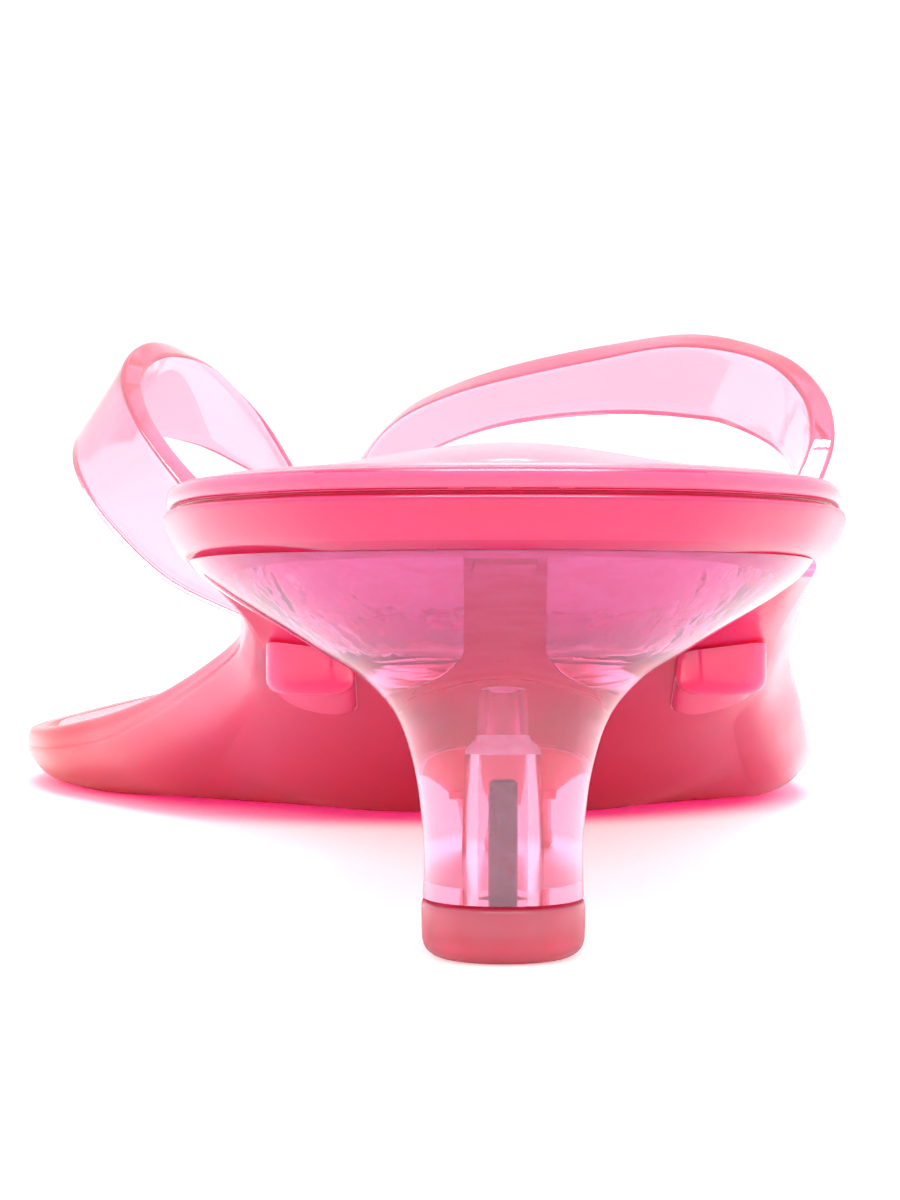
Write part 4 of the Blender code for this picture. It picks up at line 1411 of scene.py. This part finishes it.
def up_the_flare(across, along, up, facing):
    """How far a face of the heel is up its flare, where the plastic is thick and milky."""
    rise = heel_rise(along, up)
    low, high = FLARE_RISE
    return min(max((rise - low) / (high - low), 0.0), 1.0)


def in_block(across, along, up, facing):
    """Whether a face of the upper lies on a block under the sole."""
    return abs(along - BLOCK_MIDDLE) < BLOCK_HALF_LENGTH + BLOCK_MARGIN and up < underside(along, 1.0)


class FLIPFLOP_OT_sole(Operator):
    """Builds the moulded sole with its lipped edge"""

    bl_idname = "flipflop.sole"
    bl_label = "Sole"

    def execute(self, context):
        look = context.scene.flipflop_sole
        upper = context.scene.flipflop_upper
        sole = put(sole_shell(look), "jelly_sole")
        cuts = (
            ("medial slot", neck_slot(MEDIAL_STRAP[0].rear_across, look, upper)),
            ("lateral slot", neck_slot(LATERAL_STRAP[0].rear_across, look, upper)),
            ("post socket", post_hole(POST_SOCKET_FLOOR, look)),
        )
        combine(sole, [put(shell, name) for name, shell in cuts], "DIFFERENCE")
        # Painted light on the lip's sides, and painted shade in the groove and at the wall's foot.
        mark(sole, "lip", painted_lip_light)
        # Painted shade in the groove and at the wall's foot.
        mark(sole, "groove", painted_groove_shade)
        mark(sole, "tip", at_the_ball)
        dress(sole, "sole", jelly_sole(look))
        refinish(sole, keyed_seat(look), over_heel)
        return {"FINISHED"}


class FLIPFLOP_OT_insole(Operator):
    """Builds the cushioned insole in the sole's tray"""

    bl_idname = "flipflop.insole"
    bl_label = "Insole"

    def execute(self, context):
        look = context.scene.flipflop_sole
        insole = put(insole_shell(look), "cushion_insole")
        combine(insole, [put(post_hole(0.0, look), "post hole")], "DIFFERENCE")
        dress(insole, "insole", cushion_pad(look))
        return {"FINISHED"}


class FLIPFLOP_OT_upper(Operator):
    """Builds the thong: straps, toe post, necks and blocks in one moulding"""

    bl_idname = "flipflop.upper"
    bl_label = "Upper"

    def execute(self, context):
        look = context.scene.flipflop_upper
        sole = context.scene.flipflop_sole
        upper = put(strap_shell(MEDIAL_STRAP, MEDIAL_BLOCK, look, sole), "thong_upper")
        lateral = put(strap_shell(LATERAL_STRAP, LATERAL_BLOCK, look, sole), "lateral strap")
        post = put(post_shell(look), "toe post")
        combine(upper, [lateral, post], "UNION")
        dress(upper, "upper", clear_strap(look))
        refinish(upper, block_pvc(look), in_block)
        return {"FINISHED"}


class FLIPFLOP_OT_heel(Operator):
    """Builds the clear heel block with its cored pockets and bore"""

    bl_idname = "flipflop.heel"
    bl_label = "Heel"

    def execute(self, context):
        look = context.scene.flipflop_heel
        heel = put(heel_shell(look, CEMENT_GAP), "clear_heel")
        cuts = (
            ("medial pocket", pocket_shell(look, -1.0)),
            ("lateral pocket", pocket_shell(look, 1.0)),
            ("dowel bore", bore_shell(look)),
            ("web notch", notch_shell(look)),
        )
        combine(heel, [put(shell, name) for name, shell in cuts], "DIFFERENCE")
        mark(heel, "pocket", in_pocket)
        mark(heel, "flare", up_the_flare)
        mark(heel, "breast", on_breast)
        dress(heel, "heel", clear_heel(look), sharp=25.0)
        refinish(heel, cement_film(look), on_heel_top)
        # The bore's step and end get a painted whitish glint.
        refinish(heel, painted_glint_finish(look), on_painted_glint)
        return {"FINISHED"}


class FLIPFLOP_OT_heel_pin(Operator):
    """Builds the steel dowel"""

    bl_idname = "flipflop.heel_pin"
    bl_label = "Dowel"

    def execute(self, context):
        look = context.scene.flipflop_heel
        dress(put(pin_shell(look), "steel_dowel"), "heel_pin", dowel_steel(look))
        return {"FINISHED"}


class FLIPFLOP_OT_top_lift(Operator):
    """Builds the top-lift under the heel"""

    bl_idname = "flipflop.top_lift"
    bl_label = "Top-lift"

    def execute(self, context):
        look = context.scene.flipflop_heel
        gap = context.scene.flipflop_sole.seat_gap / MM
        lift = put(lift_shell(look), "coral_lift")
        combine(lift, [put(lift_space(look, gap), "dowel space")], "DIFFERENCE")
        dress(lift, "top_lift", lift_plastic(look))
        return {"FINISHED"}


class FLIPFLOP_OT_stage(Operator):
    """Sets the floor, the white surround, the softboxes and the camera"""

    bl_idname = "flipflop.stage"
    bl_label = "Studio"

    def execute(self, context):
        scene = context.scene
        look = scene.flipflop_stage
        half = look.floor_size / 2.0
        mesh = bpy.data.meshes.new("floor")
        corners = [(-half, -half), (half, -half), (half, half), (-half, half)]
        mesh.from_pydata([(x, y, -FLOOR_DROP * MM) for x, y in corners], [], [(0, 1, 2, 3)])
        floor = bpy.data.objects.new("floor", mesh)
        scene.collection.objects.link(floor)
        mesh.materials.append(white_paper(look))

        world = bpy.data.worlds.new("white surround")
        world.use_nodes = True
        world.node_tree.nodes.clear()
        tree = world.node_tree
        white = {"Color": (1.0, 1.0, 1.0, 1.0), "Strength": look.sky}
        background = add_node(tree, "ShaderNodeBackground", white)
        out = add_node(tree, "ShaderNodeOutputWorld")
        tree.links.new(background.outputs["Background"], out.inputs["Surface"])
        scene.world = world

        for name, place, turn, size, share, glints in SOFTBOXES:
            light = bpy.data.lights.new(name, "AREA")
            light.shape = "RECTANGLE"
            light.size = size[0] * MM
            light.size_y = size[1] * MM
            light.energy = look.key * share
            lamp = bpy.data.objects.new(name, light)
            lamp.location = [value * MM for value in place]
            lamp.rotation_euler = [math.radians(value) for value in turn]
            lamp.visible_diffuse = not glints
            scene.collection.objects.link(lamp)

        lens = bpy.data.cameras.new("camera")
        lens.sensor_width = CAMERA_SENSOR
        lens.lens = CAMERA_LENS
        lens.clip_start = CAMERA_CLIP[0] * MM
        lens.clip_end = CAMERA_CLIP[1] * MM
        camera = bpy.data.objects.new("camera", lens)
        camera.location = [value * MM for value in CAMERA_PLACE]
        camera.rotation_euler = (math.radians(90.0 - CAMERA_PITCH), 0.0, 0.0)
        scene.collection.objects.link(camera)
        scene.camera = camera
        scene.view_settings.view_transform = "Standard"
        # Light that runs inside the clear pieces turns many times before it comes out.
        scene.cycles.max_bounces = LIGHT_TURNS
        scene.cycles.transmission_bounces = LIGHT_TURNS
        scene.cycles.glossy_bounces = LIGHT_TURNS
        scene.cycles.diffuse_bounces = LIGHT_TURNS
        return {"FINISHED"}


class FLIPFLOP_PT_panel(Panel):
    """Lists the shoe's pieces and its studio"""

    bl_idname = "FLIPFLOP_PT_panel"
    bl_label = "Kitten heel flip-flop"
    bl_space_type = "VIEW_3D"
    bl_region_type = "UI"
    bl_category = "Flip-flop"

    def draw(self, context):
        for name in OPERATORS:
            self.layout.operator(f"flipflop.{name}")
        for group in SETTINGS:
            settings = getattr(context.scene, f"flipflop_{group}")
            for key in settings.__annotations__:
                self.layout.prop(settings, key)


SETTINGS = {"sole": FlipFlopSole, "upper": FlipFlopUpper, "heel": FlipFlopHeel, "stage": FlipFlopStage}
OPERATORS = ("sole", "insole", "upper", "heel", "heel_pin", "top_lift", "stage")
CLASSES = (
    *SETTINGS.values(),
    FLIPFLOP_OT_sole,
    FLIPFLOP_OT_insole,
    FLIPFLOP_OT_upper,
    FLIPFLOP_OT_heel,
    FLIPFLOP_OT_heel_pin,
    FLIPFLOP_OT_top_lift,
    FLIPFLOP_OT_stage,
    FLIPFLOP_PT_panel,
)


def register():
    """Adds the classes and the settings."""
    for made in CLASSES:
        bpy.utils.register_class(made)
    for name, group in SETTINGS.items():
        setattr(bpy.types.Scene, f"flipflop_{name}", PointerProperty(type=group))


def unregister():
    """Takes the settings and the classes away."""
    for name in SETTINGS:
        delattr(bpy.types.Scene, f"flipflop_{name}")
    for made in reversed(CLASSES):
        bpy.utils.unregister_class(made)


def main():
    """Builds every piece and the studio."""
    register()
    for name in OPERATORS:
        getattr(bpy.ops.flipflop, name)()


if __name__ == "__main__":
    main()
